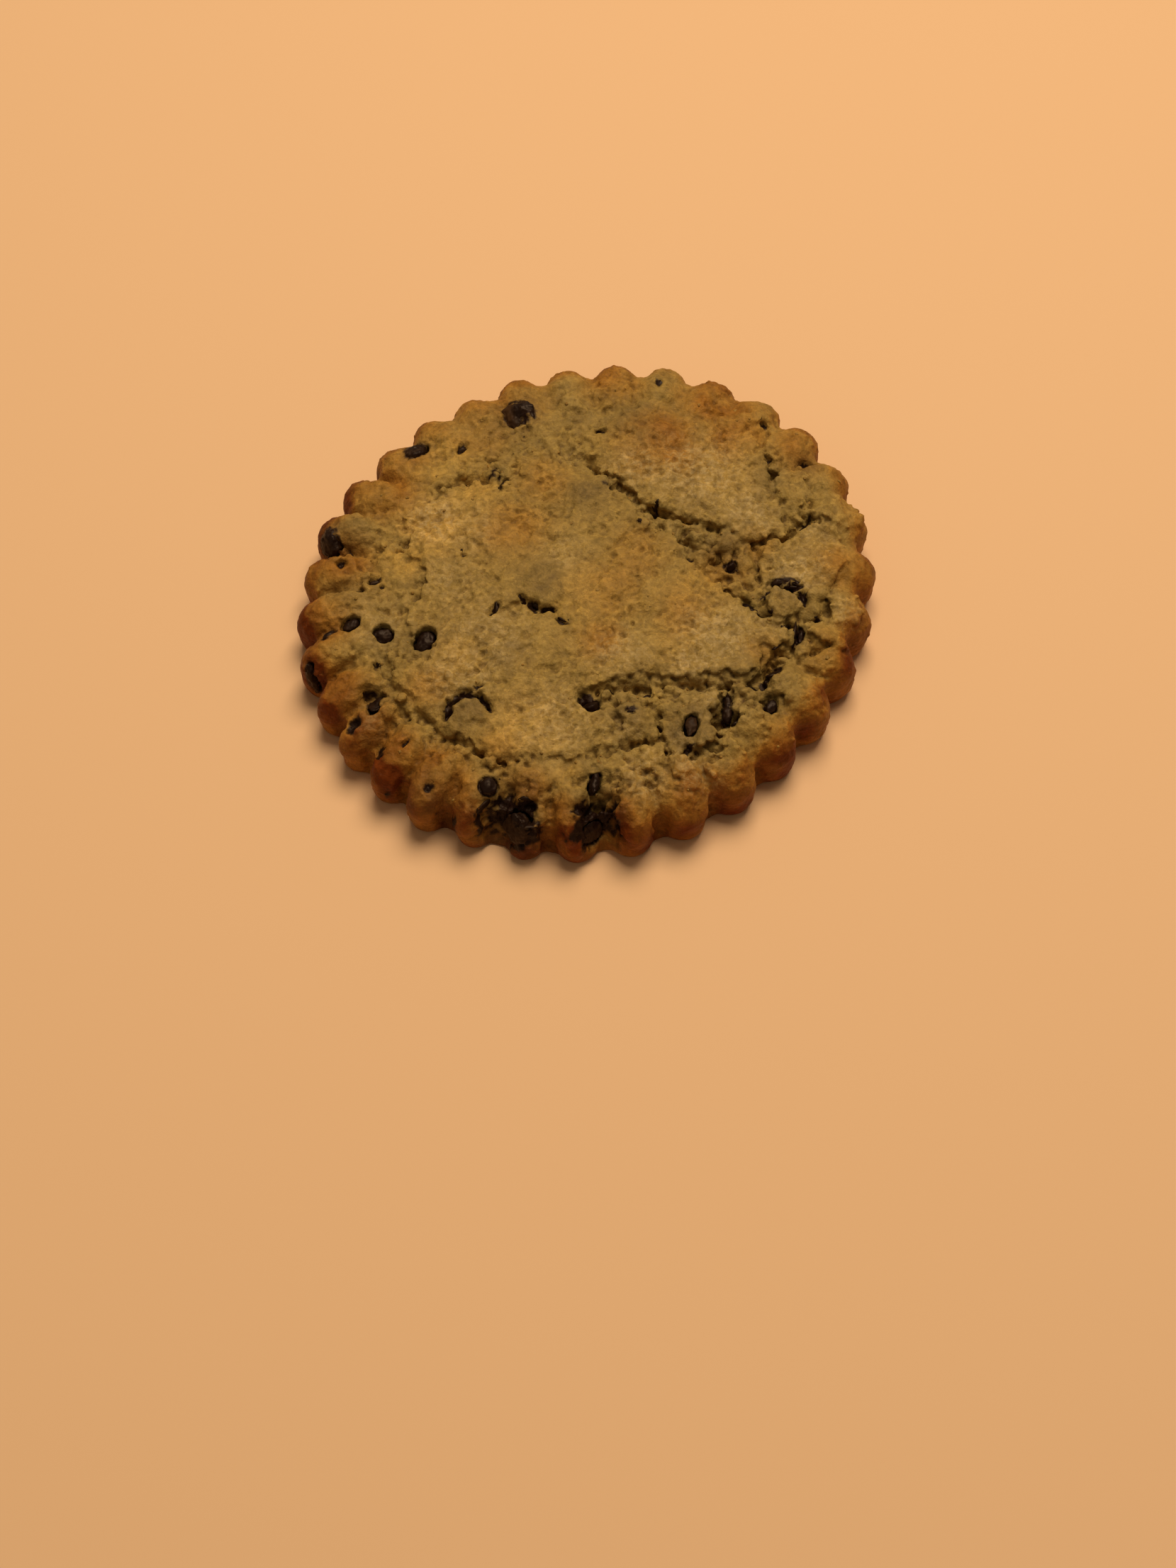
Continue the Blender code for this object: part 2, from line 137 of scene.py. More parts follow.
# Cracks between and across the plates: depth, width, then the points that each one runs through
CRACKS = (
    (1.5, 1.5, ((0, 22), (4.6, 18.9), (8, 15.7), (10.7, 13.4), (13.4, 12.1), (18, 11.4), (21.2, 9.6))),
    (1.3, 2.2, ((15, 8), (21.2, 4.5), (17.3, 1.8), (19.4, -0.7), (24.8, -4), (28.5, -6.9))),
    (1.3, 1.0, ((35.9, 14.6), (35.3, 11.3), (31.6, 8.2), (26.9, 7.1), (27, 0), (30.5, -1.6))),
    (0.8, 0.9, ((29.4, 24.5), (30.1, 18.6), (31.5, 12))),
    (1.4, 1.2, ((-32, -17), (-27.9, -23.7), (-22.5, -28.4), (-19.6, -30.5), (-14.3, -34.1), (-8.9, -32.5))),
    (1.4, 1.3, ((-1.5, -21.6), (5.1, -20.4), (12, -20.2), (20.4, -19.6), (24.6, -19.6), (27.6, -17.4))),
    (1.5, 1.2, ((27.6, -17.4), (28.4, -15.4), (31.8, -13.2), (33.2, -10.6), (33.1, -8.2))),
    (0.8, 0.8, ((-15, -7), (-9.6, -5.3), (-5.4, -6.8), (-3, -9.3))),
    (0.8, 0.8, ((11.2, -25.5), (11, -29.8), (12.1, -33), (15.4, -33), (19.6, -30), (19.8, -26))),
    (0.7, 0.9, ((-13.4, 21.2), (-14, 18.6), (-18, 20.2), (-24.6, 17.6))),
    (1.0, 0.8, ((26, -5.6), (28, -8.4), (31.4, -9.2))),
    (1.0, 0.8, ((34.4, -13.6), (36, -13.2), (38.4, -12.2))),
    (0.8, 0.7, ((38.4, -3), (37.6, -5.6), (36.2, -7.4), (34.4, -8))),
    (0.9, 0.8, ((21.4, -20.4), (21.4, -25.6), (24.6, -24.4), (28.6, -22.2))),
    (1.3, 0.7, ((-22, -26.2), (-21.6, -23.9), (-19.6, -22.4), (-17.4, -22.4), (-15.6, -24.4))),
    (0.8, 0.7, ((8.8, -20.8), (7, -24), (4.6, -26.4))),
    (0.7, 0.7, ((0.6, -33.6), (5.2, -31), (8.2, -30.6), (11.2, -30.2))),
)

# Thin cracks that only the fine surface has
FINE_CRACKS = (
    (0.9, 0.36, ((-13.6, -34.8), (-11.3, -34.1), (-8.9, -32.5), (-5.5, -33.4))),
    (0.8, 0.34, ((-19.3, -19.4), (-16.6, -16.9), (-14, -16))),
    (0.9, 0.36, ((13, -25), (14.4, -27.8), (13, -30.4))),
    (0.8, 0.34, ((5.1, -33.4), (6.9, -32.6), (9, -33.6))),
    (1.0, 0.38, ((35.9, 14.6), (35.3, 11.3), (33.4, 10.7), (31.6, 7.9), (26.9, 7.1))),
    (0.9, 0.36, ((29.4, 23.6), (29.6, 19.4), (29.8, 15.7))),
    (0.9, 0.38, ((26.6, 24.6), (28.9, 27.4), (29.6, 31.6))),
    (0.8, 0.36, ((10.7, 28.6), (8.2, 27.8), (4.4, 28.9))),
    (1.0, 0.38, ((31.6, -12.6), (32.6, -15.4), (35.4, -17.2), (37.6, -17))),
    (0.9, 0.36, ((-37.5, 5.5), (-34.4, 4.6), (-31.6, 6.8), (-30.6, 10.4))),
    (0.9, 0.36, ((-33.9, -5.5), (-31.1, -6.6), (-27.6, -5.6))),
    (0.9, 0.38, ((-30.2, -20.2), (-27.3, -22.6), (-25.4, -26.2))),
    (0.8, 0.34, ((3.4, -40.5), (6.8, -37.6), (10.6, -37.2), (14.2, -39.2))),
    (0.8, 0.34, ((18.6, -33.6), (21.9, -31.2), (26.4, -31.4))),
)

SMEARED_CHIP = "chip_01"  # the whole chip at the far left, half under a smear of dough
DUSTY_CHIP = "chip_17"
OPEN_CHIPS = "chip_05", "chip_07", "chip_08", "chip_16", "chip_17"  # hardly covered by dough
CHIP_COVER = 1.35         # dough thicker than this over a chip stays
COVER_UNEVEN = 0.7
OPEN_COVER = 2.5          # what is added to it at the open chips
FIRST_DETAIL = 0.32       # face size of the plain form, before the crumb is added
SLIVER_SUNK = 0.28
SHEEN = "#E8C4A0"         # sugar and cocoa butter reflect a little warm

# Chips still under the dough: place, and radius of the swelling
COVERED = (
    (0, 15.7, 3.2), (8, 31.1, 4.5), (-7.1, -2, 3.4), (6, -26, 3.0), (15.5, -28, 3.8), (-18.6, -25.6, 3.4),
    (30.7, -4.6, 3.0), (-13, -15.1, 2.2), (28, -21, 3.0), (-36.5, -1.5, 3.2),
)

# Hollows that melted chocolate left between two flutes: place, height, radius and depth
HOLLOWS = ((-12.2, -43.2, 7.2, 5.2, 2.0), (0.9, -43.4, 7.0, 4.2, 2.2), (-36.0, -26.4, 8.0, 1.8, 0.8))

# Undulations of the plates: size, height and seed
UNDULATIONS = (8.0, 0.65, 24), (4.0, 0.4, 30), (2.0, 0.2, 32)

# Steps where the skin of the crust has torn: height of a step, then its level and way up or down
TORN_STEP = 0.26
TORN_LEVELS = (0.0, 1), (0.17, -1), (0.34, 1), (-0.2, 1), (-0.4, -1)

# How deep slivers and holes are cut, and how far covered chips swell
SLIVER_DEPTH, HOLE_DEPTH, SWELLING = 1.25, 2.2, 0.8

# Clumps of crumb: size, how much their heights differ, depth and width of the cracks, and seed
CLUMPS = ((4.2, 0.45, 1.0, 0.34, 3), (2.0, 0.28, 0.6, 0.28, 8))

# Where the crumb lies open: place, radius and strength
CRUMB_ZONES = (
    (12, 12, 5, 0.8), (18, 5, 6, 1.0), (23, -1, 5, 1.0), (29, -9, 5, 0.9), (27, 3, 3, 0.8),
    (34, -12, 4, 0.6), (4, -21, 4, 0.9), (12, -21, 4, 1.0), (20, -20, 4, 1.0), (-4, -21.5, 3, 0.8),
    (10, -27, 6, 0.8), (19, -28, 6, 0.7), (8, -34, 5, 0.6), (16, -35, 5, 0.5), (2, -38, 5, 0.8),
    (-10, -40, 6, 0.7), (-24, 13, 4, 0.5), (-31, 8, 4, 0.5), (-24, -5, 5, 0.6), (-16, -7, 4, 0.5),
    (-30, -14, 5, 0.5), (-29, -24, 5, 0.8), (-22, -30, 4, 0.8), (-13, -34, 4, 0.7), (-19, -21, 3, 0.6),
    (-17, 22, 5, 0.4), (-2, 24, 5, 0.6), (6, 20, 4, 0.8), (-11, 28, 5, 0.4), (32, 14, 4, 0.8),
    (35, 11, 4, 0.8), (32, 22, 4, 0.6), (-36, 1, 4, 0.5), (27, -23, 5, 0.7), (-4, 36, 5, 0.3),
    (20, 33, 5, 0.3),
)

# Stretches where the edge of a plate is worn smooth: place, radius and strength
WORN_EDGES = (
    (-28, 9, 11, 1.0), (-22, -11, 10, 1.0), (-15, -20.5, 6, 0.8), (2, 20, 5, 0.6), (-16, -30, 6, 0.8),
    (8, 25, 6, 0.9), (18, 29, 7, 0.9), (-9, 20, 6, 0.6), (39, 6, 5, 0.9), (-4, -21.5, 4, 0.6),
)

# Small chocolate that isn't a solid: place, length, width and heading in degrees
SLIVERS = (
    (-21.1, 26.4, 9, 2.2, 1.3, 60), (-15.9, 23.9, 10, 0.9, 0.7, 0), (-14.0, 18.3, 11, 2.4, 0.7, 75),
    (-35.2, 20.5, 9, 1.2, 0.8, 30), (-41.9, 8.2, 7, 3.4, 1.1, 85), (-38.6, 6.2, 9, 1.8, 0.7, 40),
    (-39.6, 3.2, 9, 1.7, 1.2, 20), (-34.3, -0.2, 10, 2.6, 1.2, 25), (-32.9, -1.3, 10, 1.0, 0.7, 0),
    (-36.4, -2.1, 10, 1.0, 0.8, 0), (-32.9, -15.9, 10, 1.2, 0.8, 0), (-36.4, -26.0, 8, 2.4, 2.0, 60),
    (-32.0, -30.9, 8, 3.0, 1.6, 70), (-28.0, -30.4, 9, 2.2, 0.6, 30), (-21.8, -25.0, 10, 2.8, 1.2, 80),
    (-15.6, -24.0, 10, 2.2, 1.0, -65), (-17.1, -20.9, 10, 1.2, 0.8, 30), (-24.3, -37.8, 8, 1.9, 1.6, 0),
    (-22.5, -40.7, 6, 2.2, 1.6, 20), (-30.9, -36.9, 5, 1.8, 1.4, 0), (-20.7, -42.3, 6, 3.2, 0.9, 80),
    (-33.0, -24.2, 9, 2.6, 1.2, 75), (-15.4, -41.2, 8, 3.4, 1.8, 60), (-9.0, -40.6, 9, 3.2, 1.6, 10),
    (-9.6, -42.6, 8, 3.4, 2.2, -30), (-14.2, -42.4, 7, 3.2, 2.4, 50), (-0.6, -43.2, 7, 2.8, 2.0, 70),
    (2.6, -42.6, 7, 2.4, 1.8, 40), (-15.0, -6.4, 10, 3.4, 0.8, 62), (-10.3, -4.8, 11, 1.8, 1.0, -40),
    (3.4, -20.7, 11, 1.3, 0.9, 0), (8.7, -21.0, 11, 2.1, 1.1, 15), (6.6, -25.3, 11, 2.2, 1.1, 10),
    (15.2, -31.6, 10, 2.2, 0.7, 20), (3.2, -40.6, 9, 2.6, 0.9, 30), (-1.4, -41.4, 8, 2.6, 1.3, 60),
    (28.5, -6.9, 11, 1.2, 0.9, 0), (33.9, -4.6, 10, 1.9, 0.8, -70), (27.7, -3.0, 11, 1.6, 0.9, 60),
    (31.6, -8.7, 11, 1.4, 1.1, 0), (30.1, -13.4, 11, 2.4, 0.6, 35), (36.2, -7.3, 10, 0.9, 0.7, 0),
    (30.5, -33.7, 6, 2.2, 1.7, 50), (16.4, 3.2, 11, 1.2, 0.8, 0), (10.7, 13.4, 11, 2.0, 1.0, 75),
    (8.2, 10.2, 12, 1.0, 0.7, 0), (35.3, 11.2, 10, 2.4, 0.9, -5), (11.6, 40.2, 8, 2.1, 1.5, 80),
    (36.0, 23.9, 9, 2.8, 1.6, 20), (2.1, 29.6, 11, 1.1, 0.9, 0), (28.9, 32.0, 10, 1.1, 0.8, 30),
    (29.4, 23.8, 10, 0.9, 0.6, 0), (22.6, -26.0, 10, 2.6, 1.3, 70), (25.6, -20.0, 10, 2.4, 1.0, 20),
    (-20.8, -23.0, 10, 2.4, 1.3, 50), (-18.9, -22.1, 10, 2.8, 1.3, 5), (-17.0, -22.7, 10, 2.4, 1.2, -25),
    (-8.6, -5.9, 11, 2.4, 1.1, -50), (-6.4, -6.7, 11, 2.6, 1.0, 5), (25.6, -5.6, 10, 3.4, 1.2, -35),
    (29.4, -2.0, 10, 2.6, 0.9, 20), (32.2, -1.9, 10, 2.8, 1.1, -20), (33.8, -3.8, 10, 2.4, 1.0, -65),
    (33.0, -10.2, 10, 4.2, 0.9, 85), (-4.4, -8.7, 12, 2.4, 0.8, -25), (-19.9, 4.3, 12, 0.5, 0.5, 0),
)

# Deep openings down to a chip: place, length, width and heading in degrees
HOLES = (
    (-33.6, -21.0, 10, 3.0, 2.2, 0), (-33.4, -22.9, 10, 3.0, 1.4, 75), (-0.5, -22.3, 10, 3.2, 2.4, 20),
    (28.8, -16.9, 10, 3.8, 2.6, 45), (27.2, -19.2, 10, 2.4, 1.5, 60), (20.8, -25.6, 10, 3.0, 2.0, 10),
    (28.0, -23.2, 10, 3.0, 1.8, 80), (0.8, -41.2, 9, 3.4, 2.4, 70), (-11.5, -41.4, 9, 4.6, 2.2, -10),
)


def smooth(value, low, high):
    """0 below low, 1 above high, and a smooth ramp between."""
    ramp = np.clip((value - low) / (high - low), 0, 1)
    return ramp * ramp * (3 - 2 * ramp)


def wander(points, size, seed=0):
    """Smooth noise from -1 to 1 at each point, with features of about this size."""
    shifted = points / size + (seed * 17.3, seed * 5.1, seed * 9.7)
    return np.array([noise.noise(p) for p in shifted.tolist()])


def billow(points, size, seed=0):
    """Round lumps of about this size with sharp creases between them, from 0 to about 1."""
    return np.minimum(np.abs(wander(points, size, seed)) * 2.2, 1) ** 0.75


def slots(x, y, z, rows, spare=0.15):
    """How far into the nearest of several long openings each point is, from 0 to 1."""
    most = np.zeros(len(x))
    for cx, cy, cz, length, width, heading in rows:
        turn = math.radians(heading)
        along = ((x - cx) * math.cos(turn) + (y - cy) * math.sin(turn)) / (length / 2 + spare)
        across = ((y - cy) * math.cos(turn) - (x - cx) * math.sin(turn)) / (width / 2 + spare)
        most = np.maximum(most, np.exp(-((along ** 2 + across ** 2) ** 2) - ((z - cz) / 2.8) ** 4))
    return most


def torn_place(points, seed=31):
    """Where each point would be with the ragged outlines of broken dough, for cracks and openings."""
    flat = points * (1, 1, 0)
    x = points[:, 0] + 0.55 * wander(flat, 1.6, seed) + 0.28 * wander(flat, 0.6, seed + 2)
    y = points[:, 1] + 0.55 * wander(flat, 1.6, seed + 1) + 0.28 * wander(flat, 0.6, seed + 3)
    return x, y


def clumps(points, size, crack, seed):
    """Broken clumps of about this size: a height from -1 to 1 for each one, and how near its crack is."""
    warped = points / size + (seed * 7.3, seed * 3.9, seed * 1.7)
    warped += 0.22 * np.stack([wander(points, size * 0.6, seed + n) for n in range(3)], axis=1)
    height, between = np.empty(len(points)), np.empty(len(points))
    for number, place in enumerate(warped.tolist()):
        away, centres = noise.voronoi(place)
        height[number] = noise.cell(centres[0] * 31.7)
        between[number] = away[1] - away[0]
    return 2 * height - 1, np.exp(-((between * size / crack) ** 2))


def bumps(points, places):
    """The strongest of several round bumps at each point; a place is x, y, radius and strength."""
    strongest = np.zeros(len(points))
    for cx, cy, radius, strength in places:
        off = np.hypot(points[:, 0] - cx, points[:, 1] - cy) / radius
        strongest = np.maximum(strongest, strength * np.exp(-(off ** 3)))
    return strongest


def path_offsets(x, y, path, closed=False):
    """Distance from each point to the nearest stretch of a path, and the way there."""
    ends = list(path[1:]) + ([path[0]] if closed else [])
    nearest = np.full_like(x, np.inf)
    way = np.zeros((len(x), 2))
    for (x0, y0), (x1, y1) in zip(path, ends):
        dx, dy = x1 - x0, y1 - y0
        along = np.clip(((x - x0) * dx + (y - y0) * dy) / (dx * dx + dy * dy), 0, 1)
        gap = np.stack((x0 + along * dx - x, y0 + along * dy - y), axis=1)
        length = np.hypot(gap[:, 0], gap[:, 1])
        closer = length < nearest
        nearest[closer] = length[closer]
        way[closer] = gap[closer]
    return nearest, way / np.maximum(nearest, 1e-6)[:, None]


def inside(x, y, corners):
    """True for the points inside a closed outline."""
    crossings = np.zeros(len(x), bool)
    for (x0, y0), (x1, y1) in zip(corners, corners[1:] + corners[:1]):
        spans = (y0 > y) != (y1 > y)
        crossings ^= spans & (x < x0 + (x1 - x0) * (y - y0) / ((y1 - y0) or 1e-9))
    return crossings


def linear(code):
    """A linear colour from an sRGB hex code."""
    parts = (int(code[i:i + 2], 16) / 255 for i in (1, 3, 5))
    return tuple(p / 12.92 if p <= 0.04045 else ((p + 0.055) / 1.055) ** 2.4 for p in parts)


class DoughSettings(bpy.types.PropertyGroup):
    """Sizes and colours of the baked dough."""

    notch_radius: FloatProperty(
        name="Notch radius", description="Mean radius at the notches between two flutes",
        default=0.0441, unit="LENGTH", subtype="DISTANCE",
    )
    flute_bulge: FloatProperty(
        name="Flute bulge", description="How far a flute's tip stands out past its notches",
        default=0.0023, unit="LENGTH", subtype="DISTANCE",
    )
    crown: FloatProperty(
        name="Crown", description="How much higher the middle is than the edge",
        default=0.0015, unit="LENGTH", subtype="DISTANCE",
    )
    plate_rise: FloatProperty(
        name="Plate rise", description="Height of a plate of crust above the crumb round it",
        default=0.0006, unit="LENGTH", subtype="DISTANCE",
    )
    lip: FloatProperty(
        name="Lip", description="How far the torn edge of a plate hangs over the crumb",
        default=0.00045, unit="LENGTH", subtype="DISTANCE",
    )
    grain: FloatProperty(
        name="Grain", description="Height of the sandy grain of the dough",
        default=0.00007, unit="LENGTH", subtype="DISTANCE",
    )
    detail: FloatProperty(
        name="Detail", description="Edge length of the faces that the dough is meshed with",
        default=0.00023, unit="LENGTH", subtype="DISTANCE",
    )
    triangles: IntProperty(name="Triangles", description="Faces that the dough keeps", default=300000)
    crust: FloatVectorProperty(
        name="Crust", description="Golden crust of the plates", subtype="COLOR", default=linear("#927034"),
    )
    crumb: FloatVectorProperty(
        name="Crumb", description="Paler crumb between the plates", subtype="COLOR",
        default=linear("#96763B"),
    )
    toasted: FloatVectorProperty(
        name="Toasted", description="Lightly toasted crust", subtype="COLOR", default=linear("#9C6722"),
    )
    browned: FloatVectorProperty(
        name="Browned", description="Browner tips and patches", subtype="COLOR",
        default=linear("#662A05"),
    )
    sallow: FloatVectorProperty(
        name="Sallow", description="Yellower places in the dough", subtype="COLOR", default=linear("#997636"),
    )
    stained: FloatVectorProperty(
        name="Stained", description="Dough stained by a chip under it", subtype="COLOR",
        default=linear("#423220"),
    )
    chocolate: FloatVectorProperty(
        name="Chocolate", description="Chocolate smeared on the dough", subtype="COLOR",
        default=linear("#1E0D06"),
    )
    # Painted shade: the warm dark colour that the dough is mixed toward in its crevices and dips
    gap: FloatVectorProperty(
        name="Gap", description="Dough deep in the gaps", subtype="COLOR", default=linear("#3C210B"),
    )
    golden: FloatVectorProperty(
        name="Golden", description="Buttery golden patches", subtype="COLOR", default=linear("#C8923C"),
    )
    floury: FloatVectorProperty(
        name="Floury", description="Pale flaky patches", subtype="COLOR", default=linear("#AC8B55"),
    )


class ChipSettings(bpy.types.PropertyGroup):
    """Finish of the chocolate."""

    detail: FloatProperty(
        name="Detail", description="Edge length of the faces that a chip is meshed with",
        default=0.00016, unit="LENGTH", subtype="DISTANCE",
    )
    wrinkle: FloatProperty(
        name="Wrinkle", description="Height of the wrinkles of melted and set chocolate",
        default=0.0002, unit="LENGTH", subtype="DISTANCE",
    )
    sunk: FloatProperty(
        name="Sunk", description="How far a chip has shrunk back into its pocket",
        default=0.00010, unit="LENGTH", subtype="DISTANCE",
    )
    chocolate: FloatVectorProperty(
        name="Chocolate", description="Dark chocolate", subtype="COLOR", default=linear("#190A05"),
    )
    dusted: FloatVectorProperty(
        name="Dusted", description="Chocolate under a film of dough", subtype="COLOR",
        default=linear("#40260F"),
    )


class CrumbSettings(bpy.types.PropertyGroup):
    """Loose crumbs on the cookie."""

    count: IntProperty(name="Count", description="How many loose crumbs there are", default=260)
    specks: IntProperty(name="Specks", description="How many dark specks there are", default=70)
    radius: FloatProperty(
        name="Radius", description="Mean radius of a loose crumb",
        default=0.0002, unit="LENGTH", subtype="DISTANCE",
    )


class StageSettings(bpy.types.PropertyGroup):
    """Floor, lights and camera."""

    elevation: FloatProperty(
        name="Elevation", description="Camera angle above the floor",
        default=math.radians(60), unit="ROTATION", subtype="ANGLE",
    )
    distance: FloatProperty(
        name="Distance", description="Camera to the point that it aims at",
        default=0.37, unit="LENGTH", subtype="DISTANCE",
    )
    lens: FloatProperty(name="Lens", description="Focal length in millimetres", default=54.3)
    key_power: FloatProperty(name="Key power", description="Watts of the large soft light", default=6.5)
    fill_power: FloatProperty(name="Fill power", description="Watts of the weak front light", default=0.4)
    floor: FloatVectorProperty(
        name="Floor", description="Plain pale floor", subtype="COLOR", default=linear("#EFB880"),
    )


def outline_radius(angle, notch_radius):
    """Radius of the oval through the notches, in the direction of this angle."""
    oval = OVAL * np.cos(2 * (angle - OVAL_AXIS))
    egg = EGG * np.cos(3 * (angle - EGG_AXIS))
    return notch_radius * (1 + oval + egg)


def notch_angle(number):
    """Angle of a notch, going round clockwise, with the uneven spacing of the flutes."""
    even = FIRST_NOTCH - 2 * math.pi * number / FLUTES
    crowd = CROWD * math.cos(even - CROWD_AXIS)
    pinch = PINCH * math.cos(2 * (even - PINCH_AXIS))
    return even + crowd + pinch


def add_drum(form, notch_radius):
    """The plain round of dough, with a rounded top edge, following the oval through the notches."""
    bmesh.ops.create_cone(form, cap_ends=True, segments=192, radius1=1, radius2=1, depth=EDGE_HEIGHT)
    bmesh.ops.translate(form, verts=form.verts, vec=(0, 0, EDGE_HEIGHT / 2))
    for vert in form.verts:
        radius = outline_radius(math.atan2(vert.co.y, vert.co.x), notch_radius) - EDGE_INSET
        vert.co.x *= radius
        vert.co.y *= radius
    rim = [e for e in form.edges if all(v.co.z > 1 for v in e.verts)]
    bmesh.ops.bevel(form, geom=rim, offset=SHOULDER, segments=10, profile=0.5, affect="EDGES")


def add_flutes(form, notch_radius, bulge):
    """A dome for each flute, between two notches, pressed flat where it meets the tray."""
    for number in range(FLUTES):
        start, end = notch_angle(number), notch_angle(number + 1)
        angle = (start + end) / 2
        radius = outline_radius(angle, notch_radius)
        half_width = FLUTE_OVERLAP * radius * abs(start - end)
        uneven = noise.noise(Vector((number * 1.7, 3.1, 0)))
        top = FLUTE_TOP + FLUTE_UNEVEN * uneven
        centre = radius + bulge * (1 + 0.3 * uneven) - FLUTE_REACH
        place = (
            Matrix.Rotation(angle, 4, "Z")
            @ Matrix.Translation((centre, 0, (top + FLUTE_FOOT) / 2))
            @ Matrix.Rotation(FLUTE_TILT, 4, "Y")
            @ Matrix.Diagonal((FLUTE_REACH, half_width, (top - FLUTE_FOOT) / 2, 1))
        )
        dome = bmesh.ops.create_uvsphere(form, u_segments=36, v_segments=24, radius=1)["verts"]
        for vert in dome:
            side = math.hypot(vert.co.x, vert.co.y) ** FLUTE_SQUARENESS
            upright = abs(vert.co.z) ** FLUTE_SQUARENESS
            vert.co *= (side + upright) ** (-1 / FLUTE_SQUARENESS)
        bmesh.ops.transform(form, matrix=place, verts=dome)
        for vert in dome:
            vert.co.z = max(vert.co.z, 0)


def points_of(mesh):
    """The mesh's points, in mm."""
    flat = np.empty(len(mesh.vertices) * 3, np.float32)
    mesh.vertices.foreach_get("co", flat)
    return flat.reshape(-1, 3).astype(float) / MM


def normals_of(mesh):
    """The normal at each of the mesh's points."""
    flat = np.empty(len(mesh.vertices) * 3, np.float32)
    mesh.vertex_normals.foreach_get("vector", flat)
    return flat.reshape(-1, 3).astype(float)


def set_points(mesh, points):
    """Moves the mesh's points to these places, in mm."""
    mesh.vertices.foreach_set("co", (points * MM).astype(np.float32).ravel())
    mesh.update()


def set_layer(mesh, name, values):
    """Writes a number at each of the mesh's points, for a material to read."""
    mesh.attributes.new(name, "FLOAT", "POINT").data.foreach_set("value", values.astype(np.float32))


def layer_of(mesh, name):
    """What set_layer wrote."""
    values = np.empty(len(mesh.vertices), np.float32)
    mesh.attributes[name].data.foreach_get("value", values)
    return values.astype(float)


def form_of(mesh):
    """An editable copy of a mesh, in mm."""
    form = bmesh.new()
    form.from_mesh(mesh)
    bmesh.ops.scale(form, verts=form.verts, vec=(1 / MM,) * 3)
    return form


def object_from(mesh, name):
    """Adds an object of this mesh, light or camera to the scene."""
    made = bpy.data.objects.new(name, mesh)
    bpy.context.scene.collection.objects.link(made)
    return made


def apply_modifier(obj, kind, **settings):
    """Runs one modifier on an object and keeps its result as the object's mesh."""
    modifier = obj.modifiers.new(kind.lower(), kind)
    for key, value in settings.items():
        setattr(modifier, key, value)
    bpy.context.view_layer.update()
    graph = bpy.context.evaluated_depsgraph_get()
    old = obj.data
    obj.data = bpy.data.meshes.new_from_object(obj.evaluated_get(graph))
    obj.modifiers.clear()
    bpy.data.meshes.remove(old)


def plate_edge(points):
    """How far each point is inside the nearest plate of crust, below 0 outside, and the way outward."""
    flat = points * (1, 1, 0)
    large, small = RAGGED_SIZES
    x, y = points[:, 0].copy(), points[:, 1].copy()
    x += PLATE_RAGGED * (wander(flat, large, 1) + 0.6 * wander(flat, small, 6))
    y += PLATE_RAGGED * (wander(flat, large, 2) + 0.6 * wander(flat, small, 7))
    ragged = x.copy(), y.copy()
    x += 0.42 * wander(flat, 0.95, 11) + 0.2 * wander(flat, 0.45, 13)
    y += 0.42 * wander(flat, 0.95, 12) + 0.2 * wander(flat, 0.45, 14)
    depth = np.full(len(points), -np.inf)
    outward = np.zeros((len(points), 2))
    for corners in PLATES:
        distance, way = path_offsets(x, y, corners, closed=True)
        sign = np.where(inside(x, y, corners), 1, -1)
        better = distance * sign > depth
        depth[better] = (distance * sign)[better]
        outward[better] = (way * sign[:, None])[better]
    return depth, outward, ragged


